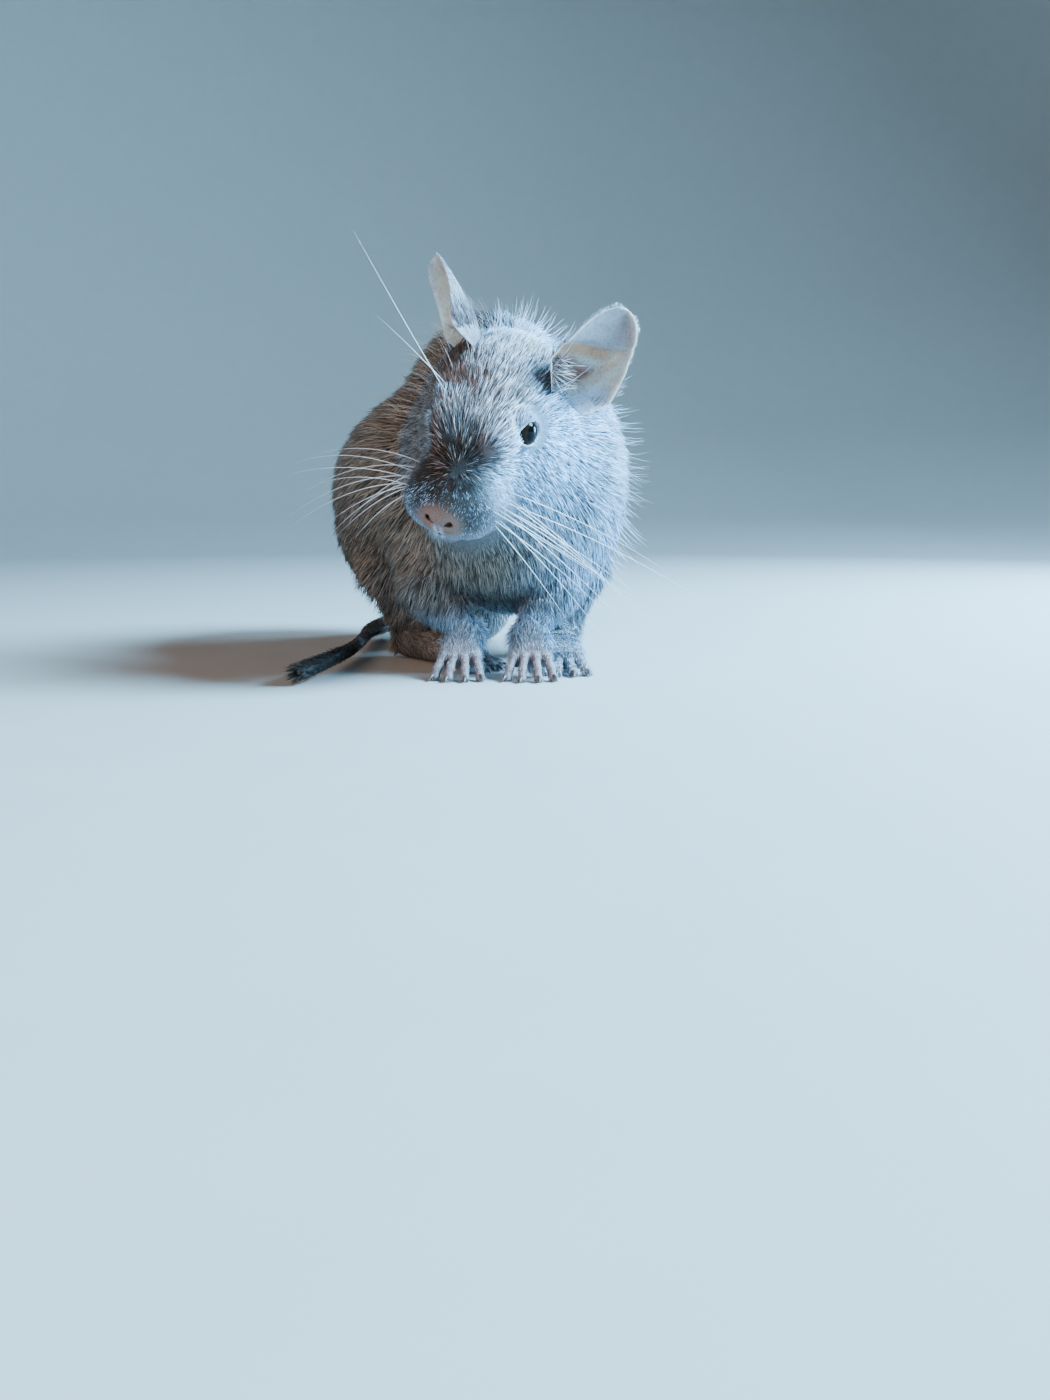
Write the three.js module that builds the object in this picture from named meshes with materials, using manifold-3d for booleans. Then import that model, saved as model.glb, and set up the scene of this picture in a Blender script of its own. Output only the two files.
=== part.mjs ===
// A degu, crouched and hunched, with its head turned down to one side: a still, life-size animal.
// Millimetres, +Z up. The animal faces -Y, its left side is +X, and it rests on the floor at z = 0.
// Every surface is the outside of the coat. The flesh is one blended shape, parted by thin cuts.

import * as THREE from "three";
import { mergeVertices } from "three/addons/utils/BufferGeometryUtils.js";
import Module from "manifold-3d";

const wasm = await Module();
wasm.setup();

// Driving dimensions of the whole animal
const GAP = 0.3; // left open between neighbouring solids
const HEAD_AT = new THREE.Vector3(-1.8, 0.6, 54.3); // middle of the skull
const HEAD_YAW = -43; // degrees: the head looks over to the animal's right
const HEAD_PITCH = 38; // and down
const HEAD_ROLL = 23; // with its left side lower
const BODY_CELL = 6.9; // size of the facets on the trunk
const HEAD_CELL = 4.3; // on the head
const LIMB_CELL = 3.6; // on the hands and feet
const BLEND = 2; // how softly the big masses run together
const FACE_BLEND = 1.7; // those of the face
const PALM_BLEND = 0.6; // and those of a palm
const EYE_RADIUS = 3.7;
const EAR_LENGTH = 23;
const EAR_WIDTH = 19;
const EAR_THICKNESS = 0.9;
const EAR_FRONT = 1.14; // how much broader the front half is than the rear one
const TAIL_RADIUS = 4.2;
const TAIL_FACES = 8;
const DIGIT_RADIUS = 1.25;
const CLAW_LENGTH = 2.6;

// Masses of the body in the animal's own frame: centre and half-sizes
const TRUNK = { at: [8.9, 50, 42.7], half: [38.1, 47, 31.5] };
const BACK = { at: [9.9, 39, 56.2], half: [24, 35, 27.5] };
const SHOULDERS = { at: [11.8, 21, 45], half: [28, 24, 33] };
const CHEST = { at: [5, 10, 34.5], half: [19, 14.5, 17] };
const RUMP = { at: [10, 68, 20.5], half: [17, 21, 22] };
const NECK_FOLD = { at: [12, 8.5, 42], half: [16, 12.5, 14] }; // skin stretched by the turned head

// Masses of the head in its own frame: x to the animal's left, y to the back, z to the crown
const CRANIUM = { at: [0, 8, 1.2], half: [14.8, 15.5, 14] };
const CHEEK = { at: [7, 5.5, -5.5], half: [8.4, 14, 10] };
const BROW = { at: [5.6, -4, 7], half: [4.4, 9, 4] };
const SNOUT = { from: [0, -3, 0.2], to: [0, -18.5, -2.8], radii: [9.9, 7.3] };
const WHISKER_PAD = { at: [4.8, -16, -4.6], half: [6.4, 9, 6] };
const NOSE_TIP = { at: [0, -24, -2.2], half: [3.2, 2.8, 3] };
const JAW = { from: [0, -15.5, -9.5], to: [0, 0, -10], radii: [4, 8] };
const NECK = { from: [0, 13, -2], to: [11, 27, 52], radii: [16, 28] };
const NAPE = { from: [0, 12, 2], to: [9.8, 34, 67.8], radii: [14, 19.4] };
const EYE_AT = [8.4, -2.6, 6.3];
const EARS = {
  ear_left: {
    root: [14.4, 13.2, 10],
    side: 1,
    axis: [0.35, 0.58, 0.71],
    facing: [0.54, -0.68, 0.37],
    cup: { rear: 4.8, front: 4.6, fold: 0.6, root: 1, bow: 0.1 },
    blunt: 6,
  },
  ear_right: {
    root: [-9.6, 15.3, 12.2],
    side: -1,
    axis: [-0.68, 0.41, 0.55],
    facing: [-0.86, -0.57, -0.27],
    cup: { rear: 8.6, front: 10.9, fold: 1.6, root: 0.2, bow: 1.6 },
    blunt: 3,
  },
};

// Legs: joints as points with a radius each, from the body down
const LEGS = {
  foreleg_right: [
    [-9, 24, 31, 12],
    [-11, 16, 21, 7.5],
    [-5, 9.2, 11, 3.6],
  ],
  foreleg_left: [
    [20, 19, 31, 12],
    [17, 11, 21, 7.5],
    [9.4, 2.8, 11, 3.6],
  ],
  hindleg_right: [
    [-9, 64, 33, 18],
    [-15, 39, 24, 9.5],
    [-10.5, 43, 8, 5],
  ],
  hindleg_left: [
    [25.8, 58, 31, 19],
    [28.8, 31, 25, 11.5],
    [27.5, 34, 8, 6],
  ],
};

// Paws: heel and knuckle line of each, then the fingers or toes in a fan
const PAWS = {
  forepaw_right: {
    heel: [-5, 9.4, 9],
    knuckles: [-6.8, 5.2, 5.2],
    radii: [3.6, 3.1],
    breadth: 4.6,
    digits: 4,
    reach: 7.4,
    fan: 44,
  },
  forepaw_left: {
    heel: [9.4, 2.8, 9],
    knuckles: [8.3, -0.4, 5.2],
    radii: [3.6, 3.1],
    breadth: 4.6,
    digits: 4,
    reach: 7.4,
    fan: 44,
  },
  hindfoot_right: {
    heel: [-10.5, 43, 4],
    knuckles: [-1, 19, 2.7],
    radii: [4.3, 3.3],
    breadth: 4.9,
    digits: 4,
    reach: 9,
    fan: 30,
  },
  hindfoot_left: {
    heel: [27.5, 33, 4],
    knuckles: [19, 6.5, 2.8],
    radii: [4.4, 3.5],
    breadth: 5.1,
    digits: 4,
    reach: 9,
    fan: 30,
  },
};

// The tail leaves the rump, reaches the floor and lies along the animal's right side.
const TAIL_ROUTE = [
  [8, 80, 13],
  [5, 91, 8],
  [-4, 94, 4.5],
  [-14, 82, 3.3],
  [-19.5, 64, 3.1],
  [-25, 46, 2.95],
  [-30.5, 31, 3.2],
  [-37, 16, 3.5],
  [-45, 4, 2.8],
];
const TAIL_LENGTHS = { tail_base: [0, 0.36], tail_middle: [0.36, 0.7], tail_tip: [0.7, 1] };

const COLOURS = {
  fur: [0x9aa7b4, 0.95],
  dark_fur: [0x4c4a4b, 0.95],
  bare_skin: [0xb79aa0, 0.7],
  ear_skin: [0xa89c95, 0.75],
  eye: [0x0b0a0c, 0.08],
};

const UP = new THREE.Vector3(0, 0, 1);
const rad = THREE.MathUtils.degToRad;
const headFrame = new THREE.Matrix4().compose(
  HEAD_AT,
  new THREE.Quaternion().setFromEuler(
    new THREE.Euler(rad(HEAD_PITCH), rad(HEAD_ROLL), rad(HEAD_YAW), "ZXY"),
  ),
  new THREE.Vector3(1, 1, 1),
);
const toHead = headFrame.clone().invert().elements;

// Fields: each gives the distance of a point to a surface, negative inside
function oval({ at, half }, side = 1) {
  const [a, b, c] = half;
  return (x, y, z) => {
    const u = x - side * at[0];
    const v = y - at[1];
    const w = z - at[2];
    const near = Math.hypot(u / a, v / b, w / c);
    const steep = Math.hypot(u / (a * a), v / (b * b), w / (c * c));
    return steep > 0 ? (near * (near - 1)) / steep : -Math.min(a, b, c);
  };
}

function taper({ from, to, radii }) {
  const d = to.map((value, i) => value - from[i]);
  const long = d[0] * d[0] + d[1] * d[1] + d[2] * d[2];
  return (x, y, z) => {
    const along = ((x - from[0]) * d[0] + (y - from[1]) * d[1] + (z - from[2]) * d[2]) / long;
    const t = Math.min(1, Math.max(0, along));
    const gap = Math.hypot(x - from[0] - t * d[0], y - from[1] - t * d[1], z - from[2] - t * d[2]);
    return gap - radii[0] - t * (radii[1] - radii[0]);
  };
}

function blend(fields, soft) {
  return (x, y, z) => {
    let sum = 0;
    for (const field of fields) {
      sum += Math.exp(-field(x, y, z) / soft);
    }
    return -soft * Math.log(sum);
  };
}

// The head in its own frame
const headShape = blend(
  [
    oval(CRANIUM),
    oval(CHEEK),
    oval(CHEEK, -1),
    oval(BROW),
    oval(BROW, -1),
    taper(SNOUT),
    oval(WHISKER_PAD),
    oval(WHISKER_PAD, -1),
    oval(NOSE_TIP),
    taper(JAW),
  ],
  FACE_BLEND,
);

function headField(x, y, z) {
  const m = toHead;
  return headShape(
    m[0] * x + m[4] * y + m[8] * z + m[12],
    m[1] * x + m[5] * y + m[9] * z + m[13],
    m[2] * x + m[6] * y + m[10] * z + m[14],
  );
}

function placedInHead(point) {
  return new THREE.Vector3(...point).applyMatrix4(headFrame);
}

function legLengths(joints) {
  return joints.slice(1).map((joint, i) =>
    taper({
      from: joints[i].slice(0, 3),
      to: joint.slice(0, 3),
      radii: [joints[i][3], joint[3]],
    }),
  );
}

// A mass that runs from a point of the head to one of the body
const fromHead = ({ from, to, radii }) => taper({ from: placedInHead(from).toArray(), to, radii });
const bodyField = blend(
  [
    oval(TRUNK),
    oval(BACK),
    oval(SHOULDERS),
    oval(CHEST),
    oval(RUMP),
    oval(NECK_FOLD),
    fromHead(NECK),
    fromHead(NAPE),
    ...Object.values(LEGS).flatMap(legLengths),
    headField,
  ],
  BLEND,
);

// Surface nets: one vertex in every grid cell that the surface crosses, then drawn onto the surface
function surfaceOf(field, box, cell) {
  const size = box.getSize(new THREE.Vector3());
  const count = [size.x, size.y, size.z].map((length) => Math.ceil(length / cell) + 1);
  const [nx, ny, nz] = count;
  const low = box.min;
  const values = new Float32Array(nx * ny * nz);
  const at = (i, j, k) => i + nx * (j + ny * k);
  for (let k = 0; k < nz; k++) {
    for (let j = 0; j < ny; j++) {
      for (let i = 0; i < nx; i++) {
        values[at(i, j, k)] = field(low.x + i * cell, low.y + j * cell, low.z + k * cell);
      }
    }
  }
  const corners = [0, 1, 2, 3, 4, 5, 6, 7].map((n) => [n & 1, (n >> 1) & 1, (n >> 2) & 1]);
  const cellEdges = [];
  for (let a = 0; a < 8; a++) {
    for (const bit of [1, 2, 4]) {
      if (!(a & bit)) {
        cellEdges.push([a, a | bit]);
      }
    }
  }
  const vertexOf = new Map();
  const points = [];
  for (let k = 0; k + 1 < nz; k++) {
    for (let j = 0; j + 1 < ny; j++) {
      for (let i = 0; i + 1 < nx; i++) {
        const v = corners.map(([a, b, c]) => values[at(i + a, j + b, k + c)]);
        const middle = new THREE.Vector3();
        let crossings = 0;
        for (const [a, b] of cellEdges) {
          if (v[a] < 0 !== v[b] < 0) {
            const t = v[a] / (v[a] - v[b]);
            const from = new THREE.Vector3(...corners[a]);
            middle.add(from.lerp(new THREE.Vector3(...corners[b]), t));
            crossings++;
          }
        }
        if (crossings) {
          middle.divideScalar(crossings).add(new THREE.Vector3(i, j, k));
          vertexOf.set(at(i, j, k), points.length);
          points.push(middle.multiplyScalar(cell).add(low));
        }
      }
    }
  }
  const faces = [];
  const quad = (a, b, c, d, turned) => {
    const ring = turned ? [d, c, b, a] : [a, b, c, d];
    const [p, q, r, s] = ring.map((index) => points[index]);
    if (p.distanceTo(r) < q.distanceTo(s)) {
      faces.push(ring[0], ring[1], ring[2], ring[0], ring[2], ring[3]);
    } else {
      faces.push(ring[1], ring[2], ring[3], ring[1], ring[3], ring[0]);
    }
  };
  const steps = [
    [1, 0, 0],
    [0, 1, 0],
    [0, 0, 1],
  ];
  for (let k = 1; k + 1 < nz; k++) {
    for (let j = 1; j + 1 < ny; j++) {
      for (let i = 1; i + 1 < nx; i++) {
        const here = values[at(i, j, k)] < 0;
        steps.forEach(([a, b, c], axis) => {
          const there = values[at(i + a, j + b, k + c)] < 0;
          if (here === there) {
            return;
          }
          const u = steps[(axis + 1) % 3];
          const v = steps[(axis + 2) % 3];
          const around = [
            [0, 0],
            [1, 0],
            [1, 1],
            [0, 1],
          ].map(([m, n]) =>
            vertexOf.get(
              at(i - m * u[0] - n * v[0], j - m * u[1] - n * v[1], k - m * u[2] - n * v[2]),
            ),
          );
          quad(...around, !here);
        });
      }
    }
  }
  const nudge = cell / 50;
  for (let round = 0; round < 3; round++) {
    for (const p of points) {
      const value = field(p.x, p.y, p.z);
      const slope = new THREE.Vector3(
        field(p.x + nudge, p.y, p.z) - value,
        field(p.x, p.y + nudge, p.z) - value,
        field(p.x, p.y, p.z + nudge) - value,
      ).divideScalar(nudge);
      const step = THREE.MathUtils.clamp(value / slope.lengthSq(), -cell / 4, cell / 4);
      p.addScaledVector(slope, -step);
    }
  }
  const geometry = new THREE.BufferGeometry().setFromPoints(points);
  geometry.setIndex(faces);
  return geometry;
}

// A closed surface through rings of points of equal count, with both ends closed
function loft(rings) {
  const sides = rings[0].length;
  const points = rings.flat();
  const faces = [];
  for (let r = 0; r + 1 < rings.length; r++) {
    for (let s = 0; s < sides; s++) {
      const a = r * sides + s;
      const b = r * sides + ((s + 1) % sides);
      faces.push(a, b, b + sides, a, b + sides, a + sides);
    }
  }
  [0, rings.length - 1].forEach((r) => {
    const middle = new THREE.Vector3();
    rings[r].forEach((point) => middle.add(point));
    points.push(middle.divideScalar(sides));
    for (let s = 0; s < sides; s++) {
      const a = r * sides + s;
      const b = r * sides + ((s + 1) % sides);
      faces.push(...(r ? [a, b, points.length - 1] : [b, a, points.length - 1]));
    }
  });
  const geometry = new THREE.BufferGeometry().setFromPoints(points);
  geometry.setIndex(faces);
  return geometry;
}

// Rings of given radius about a curve, which keep their sides upright
function ringsAlong(curve, from, to, count, sides, radiusAt) {
  const rings = [];
  for (let n = 0; n <= count; n++) {
    const t = from + ((to - from) * n) / count;
    const forward = curve.getTangentAt(t);
    const across = new THREE.Vector3(forward.y, -forward.x, 0).normalize();
    const up = new THREE.Vector3().crossVectors(across, forward);
    const middle = curve.getPointAt(t);
    const ring = [];
    for (let s = 0; s < sides; s++) {
      const angle = (2 * Math.PI * (s + 0.5)) / sides;
      ring.push(
        middle
          .clone()
          .addScaledVector(across, -Math.cos(angle) * radiusAt(t))
          .addScaledVector(up, Math.sin(angle) * radiusAt(t)),
      );
    }
    rings.push(ring);
  }
  return rings;
}

// Solids: closed surfaces made ready to cut and join
function solidFrom(geometry) {
  const bare = geometry.clone();
  bare.deleteAttribute("normal");
  bare.deleteAttribute("uv");
  const merged = mergeVertices(bare, 1e-5);
  return new wasm.Manifold(
    new wasm.Mesh({
      numProp: 3,
      vertProperties: merged.attributes.position.array,
      triVerts: new Uint32Array(merged.index.array),
    }),
  );
}

function facingOut(geometry) {
  const index = geometry.index.array;
  const made = solidFrom(geometry);
  if (made.volume() < 0) {
    for (let i = 0; i < index.length; i += 3) {
      [index[i + 1], index[i + 2]] = [index[i + 2], index[i + 1]];
    }
    return solidFrom(geometry);
  }
  return made;
}

function largest(solid) {
  return solid.decompose().sort((a, b) => b.volume() - a.volume())[0];
}

function block(low, high, frame = new THREE.Matrix4()) {
  const box = new THREE.Box3(new THREE.Vector3(...low), new THREE.Vector3(...high));
  const size = box.getSize(new THREE.Vector3());
  const middle = box.getCenter(new THREE.Vector3());
  const geometry = new THREE.BoxGeometry(size.x, size.y, size.z);
  geometry.translate(middle.x, middle.y, middle.z).applyMatrix4(frame);
  return solidFrom(geometry);
}

function ball(middle, half, frame = new THREE.Matrix4()) {
  const geometry = new THREE.SphereGeometry(1, 14, 9);
  geometry.scale(...half).translate(...middle).applyMatrix4(frame);
  return solidFrom(geometry);
}

const grow = (half, by) => half.map((value) => value + by);
const floorLevel = block([-300, -300, 0], [300, 300, 300]);

// The whole of the flesh, with finer facets on the head
const bodyBox = new THREE.Box3(new THREE.Vector3(-50, -36, -10.5), new THREE.Vector3(62, 112, 104));
const HEAD_CUT = { low: [-26, -40, -16.5], high: [26, 16, 32] };
const reach = (value, i) => value + (i === 1 ? 3 : 6);
const headRegion = new THREE.Box3().setFromPoints(
  [0, 1, 2, 3, 4, 5, 6, 7].map((n) =>
    placedInHead(HEAD_CUT.low.map((low, i) => ((n >> i) & 1 ? reach(HEAD_CUT.high[i], i) : low))),
  ),
);
const headWalls = (x, y, z) =>
  Math.max(
    headRegion.min.x + HEAD_CELL - x,
    x - headRegion.max.x + HEAD_CELL,
    headRegion.min.y + HEAD_CELL - y,
    y - headRegion.max.y + HEAD_CELL,
    headRegion.min.z + HEAD_CELL - z,
    z - headRegion.max.z + HEAD_CELL,
  );
const fleshSurface = surfaceOf(bodyField, bodyBox, BODY_CELL);
const headSurface = surfaceOf(
  (x, y, z) => Math.max(bodyField(x, y, z), headWalls(x, y, z)),
  headRegion,
  HEAD_CELL,
);
let flesh = facingOut(fleshSurface);
const parts = {};

// Takes a part out of the rest of the flesh, and leaves a thin gap round it
function cutOut(name, cutter, wider) {
  parts[name] = largest(flesh.intersect(cutter));
  flesh = largest(flesh.subtract(wider));
}

// Eyes, set into the head so that a third of each ball stands clear
const eyeBalls = {
  eye_left: placedInHead(EYE_AT),
  eye_right: placedInHead([-EYE_AT[0], EYE_AT[1], EYE_AT[2]]),
};
const eyeBall = (middle, radius) => {
  const geometry = new THREE.SphereGeometry(radius, 12, 8);
  return solidFrom(geometry.translate(...middle.toArray()));
};
for (const [name, middle] of Object.entries(eyeBalls)) {
  parts[name] = eyeBall(middle, EYE_RADIUS);
}

// Ears: broad thin leaves, each turned its own way, cupped towards the side that they listen to.
// The rear half curls by cup.rear; the front one by cup.front, less towards the tip by cup.fold.
function earShell({ root: at, side, axis: way, facing, cup, blunt }) {
  const root = new THREE.Vector3(...at);
  const axis = new THREE.Vector3(...way).normalize();
  const open = new THREE.Vector3(...facing);
  open.addScaledVector(axis, -open.dot(axis)).normalize();
  const across = new THREE.Vector3().crossVectors(axis, open).multiplyScalar(side);
  const rings = [];
  const steps = 7;
  const half = 4;
  for (let n = 0; n <= steps; n++) {
    const s = n / steps;
    const leaf = Math.min(1, 0.5 + 2.2 * s) * (1 - 0.5 * s * s);
    const width = (EAR_WIDTH / 2) * leaf * Math.sqrt(1.004 - Math.pow(s, blunt)) + 0.1;
    const rise = THREE.MathUtils.lerp(cup.root, 1, THREE.MathUtils.smoothstep(s, 0, 0.4));
    const flattened = rise * Math.sqrt(1.004 - Math.pow(s, 9));
    const ring = [];
    const place = (t, back) => {
      const depth = t < 0 ? cup.front * Math.pow(1 - s, cup.fold) : cup.rear * (1 - 0.55 * s);
      const bent = depth * flattened * t * t - cup.bow * 4 * s * (1 - s);
      const curl = bent - back * EAR_THICKNESS * (1 - 0.35 * t * t);
      return root
        .clone()
        .addScaledVector(axis, EAR_LENGTH * (s - 0.17))
        .addScaledVector(across, width * t * (1 - 0.12 * t * t) * (t < 0 ? EAR_FRONT : 1))
        .addScaledVector(open, curl);
    };
    for (let m = -half; m <= half; m++) {
      ring.push(place(m / half, 0));
    }
    for (let m = half; m >= -half; m--) {
      ring.push(place(m / half, 1));
    }
    rings.push(ring);
  }
  return facingOut(loft(rings).applyMatrix4(headFrame));
}
const headClear = facingOut(
  surfaceOf(
    (x, y, z) => Math.max(bodyField(x, y, z) - 3 * GAP, headWalls(x, y, z)),
    headRegion,
    HEAD_CELL,
  ),
);
for (const [name, ear] of Object.entries(EARS)) {
  parts[name] = largest(earShell(ear).subtract(headClear));
}

// Head and nose
let head = facingOut(headSurface).intersect(block(HEAD_CUT.low, HEAD_CUT.high, headFrame));
head = largest(head);
flesh = flesh.subtract(block(grow(HEAD_CUT.low, -GAP), grow(HEAD_CUT.high, GAP), headFrame));
flesh = largest(flesh);
const NOSE_CUT = { at: [0, -26.5, -2], half: [4.2, 3.4, 3.8] };
parts.nose = largest(head.intersect(ball(NOSE_CUT.at, NOSE_CUT.half, headFrame)));
head = head.subtract(ball(NOSE_CUT.at, grow(NOSE_CUT.half, GAP), headFrame));
for (const middle of Object.values(eyeBalls)) {
  head = head.subtract(eyeBall(middle, EYE_RADIUS + GAP));
}
parts.head = largest(head);

// Neck: the length behind the head, above the level of the shoulder joints
const NECK_CUT = { low: [-46, -60, -34], high: [46, 31, 46] };
const NECK_LEVEL = 40;
const neckBlock = (wider) =>
  block(grow(NECK_CUT.low, -wider), grow(NECK_CUT.high, wider), headFrame).intersect(
    block([-90, -60, NECK_LEVEL - wider], [90, 90, 120]),
  );
cutOut("neck", neckBlock(0), neckBlock(GAP));

// Digits: each a bent tapering finger that comes down on its tip, with a claw
function digit(root, direction, reachOut, radius) {
  const flat = new THREE.Vector3(direction.x, direction.y, 0).normalize();
  const tip = root.clone().addScaledVector(flat, reachOut);
  tip.z = radius * 0.45;
  const crest = root.clone().addScaledVector(flat, reachOut * 0.45);
  crest.z = root.z * 0.86;
  const curve = new THREE.CatmullRomCurve3([root, crest, tip]);
  const thickness = (t) => radius * (1 + 0.16 * Math.cos(2 * Math.PI * t)) * (t < 1 ? 1 : 0.62);
  const finger = facingOut(loft(ringsAlong(curve, 0, 1, 4, 6, thickness)));
  const clawPoint = (along, height) => {
    const point = tip.clone().addScaledVector(flat, along);
    point.z = height;
    return point;
  };
  const claw = new THREE.CatmullRomCurve3([
    clawPoint(-0.6, radius * 1.1),
    clawPoint(CLAW_LENGTH * 0.5, radius * 1.05),
    clawPoint(CLAW_LENGTH, 0.2),
  ]);
  return finger.add(facingOut(loft(ringsAlong(claw, 0, 1, 2, 5, (t) => 0.62 - 0.34 * t))));
}

// A paw: a flat palm or sole from heel to knuckles, and its digits in a fan
function paw({ heel, knuckles, radii, breadth, digits, reach: reachOut, fan }) {
  const from = new THREE.Vector3(...heel);
  const to = new THREE.Vector3(...knuckles);
  const forward = to.clone().sub(from).setZ(0).normalize();
  const across = new THREE.Vector3(forward.y, -forward.x, 0);
  const rays = Array.from({ length: digits }, (_, n) => (2 * n) / (digits - 1) - 1);
  const bones = rays.map((ray) =>
    taper({
      from: from.clone().addScaledVector(across, ray * 1.1).toArray(),
      to: to.clone().addScaledVector(across, ray * (breadth - radii[1] * 0.55)).toArray(),
      radii: [radii[0] * 0.8, radii[1] * 0.62],
    }),
  );
  const field = blend(bones, PALM_BLEND);
  const box = new THREE.Box3().setFromPoints([from, to]).expandByScalar(breadth + radii[0] + LIMB_CELL);
  let made = facingOut(surfaceOf(field, box, LIMB_CELL));
  const clear = facingOut(surfaceOf((x, y, z) => field(x, y, z) - 2 * GAP, box, LIMB_CELL));
  for (const ray of rays) {
    const root = to.clone().addScaledVector(across, ray * (breadth - radii[1] * 0.55));
    root.addScaledVector(forward, -0.6);
    const direction = forward.clone().applyAxisAngle(UP, rad((-ray * fan) / 2));
    made = made.add(digit(root, direction, reachOut * (1 - 0.16 * ray * ray), DIGIT_RADIUS));
  }
  return { made, clear };
}

// Legs: each parted from the trunk by an oval cut, and from its paw by the paw's own outline
const LEG_CUTS = {
  foreleg_right: { at: [-10.5, 8, 15], half: [11.5, 15, 17] },
  foreleg_left: { at: [12.5, 3.5, 15], half: [11, 13.5, 17] },
  hindleg_right: { at: [-23, 47, 22], half: [21, 31, 25] },
  hindleg_left: { at: [36, 44, 22], half: [22, 33, 27] },
};
const PAW_OF = {
  foreleg_right: "forepaw_right",
  foreleg_left: "forepaw_left",
  hindleg_right: "hindfoot_right",
  hindleg_left: "hindfoot_left",
};
for (const [leg, cut] of Object.entries(LEG_CUTS)) {
  const { made, clear } = paw(PAWS[PAW_OF[leg]]);
  parts[PAW_OF[leg]] = made;
  flesh = largest(flesh.subtract(clear));
  cutOut(leg, ball(cut.at, cut.half), ball(cut.at, grow(cut.half, GAP)));
}

// Tail: three lengths with a brush of longer hair towards the tip
const tailCurve = new THREE.CatmullRomCurve3(TAIL_ROUTE.map((point) => new THREE.Vector3(...point)));
function tailRadius(t) {
  const brush = 0.3 * Math.exp(-Math.pow((t - 0.86) / 0.1, 2));
  return TAIL_RADIUS * (1 - 0.3 * t + brush) * (t > 0.995 ? 0.3 : 1);
}
const tailGap = GAP / tailCurve.getLength() / 2;
for (const [name, [from, to]] of Object.entries(TAIL_LENGTHS)) {
  const start = from + (from > 0 ? tailGap : 0);
  const end = to - (to < 1 ? tailGap : 0);
  parts[name] = facingOut(loft(ringsAlong(tailCurve, start, end, 9, TAIL_FACES, tailRadius)));
}
const rootEnd = TAIL_LENGTHS.tail_base[1];
const tailClear = ringsAlong(tailCurve, 0, rootEnd, 9, TAIL_FACES, (t) => tailRadius(t) + GAP);
parts.trunk = largest(flesh.subtract(facingOut(loft(tailClear))));

// Meshes: every part cut level where it meets the floor
const SLOT_OF = (name) => {
  if (name.startsWith("eye")) return "eye";
  if (name.startsWith("ear")) return "ear_skin";
  if (name.startsWith("tail")) return "dark_fur";
  if (name.includes("paw") || name.includes("foot") || name === "nose") return "bare_skin";
  return "fur";
};
const group = new THREE.Group();
group.name = "degu";
for (const [name, solid] of Object.entries(parts)) {
  const cut = largest(solid.intersect(floorLevel)).getMesh();
  const geometry = new THREE.BufferGeometry();
  geometry.setAttribute("position", new THREE.BufferAttribute(cut.vertProperties, 3));
  geometry.setIndex(new THREE.BufferAttribute(cut.triVerts, 1));
  geometry.computeVertexNormals();
  const [color, roughness] = COLOURS[SLOT_OF(name)];
  const mesh = new THREE.Mesh(
    geometry,
    new THREE.MeshStandardMaterial({ color, roughness, metalness: 0 }),
  );
  mesh.name = name;
  group.add(mesh);
}

// The frame's origin is the middle of the animal's box, at floor level
const bounds = new THREE.Box3().setFromObject(group);
const middle = bounds.getCenter(new THREE.Vector3());
group.position.set(-middle.x, -middle.y, -bounds.min.z);

export default group;
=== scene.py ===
# %% [markdown]
# # A degu, crouched and hunched, with its head turned down to one side
# A degu is a small rodent with thin bare ears, long white whiskers and a soft ticked coat.
# This notebook dresses a plain model of one, which is already the right size and shape, in its looks.
# We make a camera, a skin, eyes, ears, hands and feet, then the coat, the whiskers, and the lights.

# %% Load the frame
import math
import time

import bpy
import numpy as np
from mathutils import Matrix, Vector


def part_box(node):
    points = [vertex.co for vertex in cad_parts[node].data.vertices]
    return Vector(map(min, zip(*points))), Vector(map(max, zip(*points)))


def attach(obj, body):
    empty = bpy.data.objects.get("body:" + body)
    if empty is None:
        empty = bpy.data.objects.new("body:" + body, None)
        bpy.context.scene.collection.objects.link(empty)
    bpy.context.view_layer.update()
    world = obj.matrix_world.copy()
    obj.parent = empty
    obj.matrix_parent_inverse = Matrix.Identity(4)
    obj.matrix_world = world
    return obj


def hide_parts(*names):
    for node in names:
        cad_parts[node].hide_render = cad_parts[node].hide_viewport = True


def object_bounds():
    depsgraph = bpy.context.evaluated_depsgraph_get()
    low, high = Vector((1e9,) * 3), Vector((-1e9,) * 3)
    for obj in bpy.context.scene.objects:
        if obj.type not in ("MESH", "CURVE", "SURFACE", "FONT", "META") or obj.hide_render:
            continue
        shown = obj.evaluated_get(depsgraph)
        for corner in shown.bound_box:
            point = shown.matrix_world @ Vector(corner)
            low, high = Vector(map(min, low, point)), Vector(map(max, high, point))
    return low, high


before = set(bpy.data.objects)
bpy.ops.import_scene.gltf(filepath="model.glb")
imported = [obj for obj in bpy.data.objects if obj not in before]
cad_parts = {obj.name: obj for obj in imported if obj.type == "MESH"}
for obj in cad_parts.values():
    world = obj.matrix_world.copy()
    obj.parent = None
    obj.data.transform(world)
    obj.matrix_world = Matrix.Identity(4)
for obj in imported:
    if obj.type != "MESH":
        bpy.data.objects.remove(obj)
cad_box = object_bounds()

scene = bpy.context.scene
started = time.perf_counter()


def progress(text):
    """Prints what was just made, with the seconds since the start."""
    print(f"{time.perf_counter() - started:6.1f} s  {text}")


progress(f"frame of {len(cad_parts)} nodes, box {np.round(np.array(cad_box) * 1000, 1).tolist()} mm")

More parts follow.
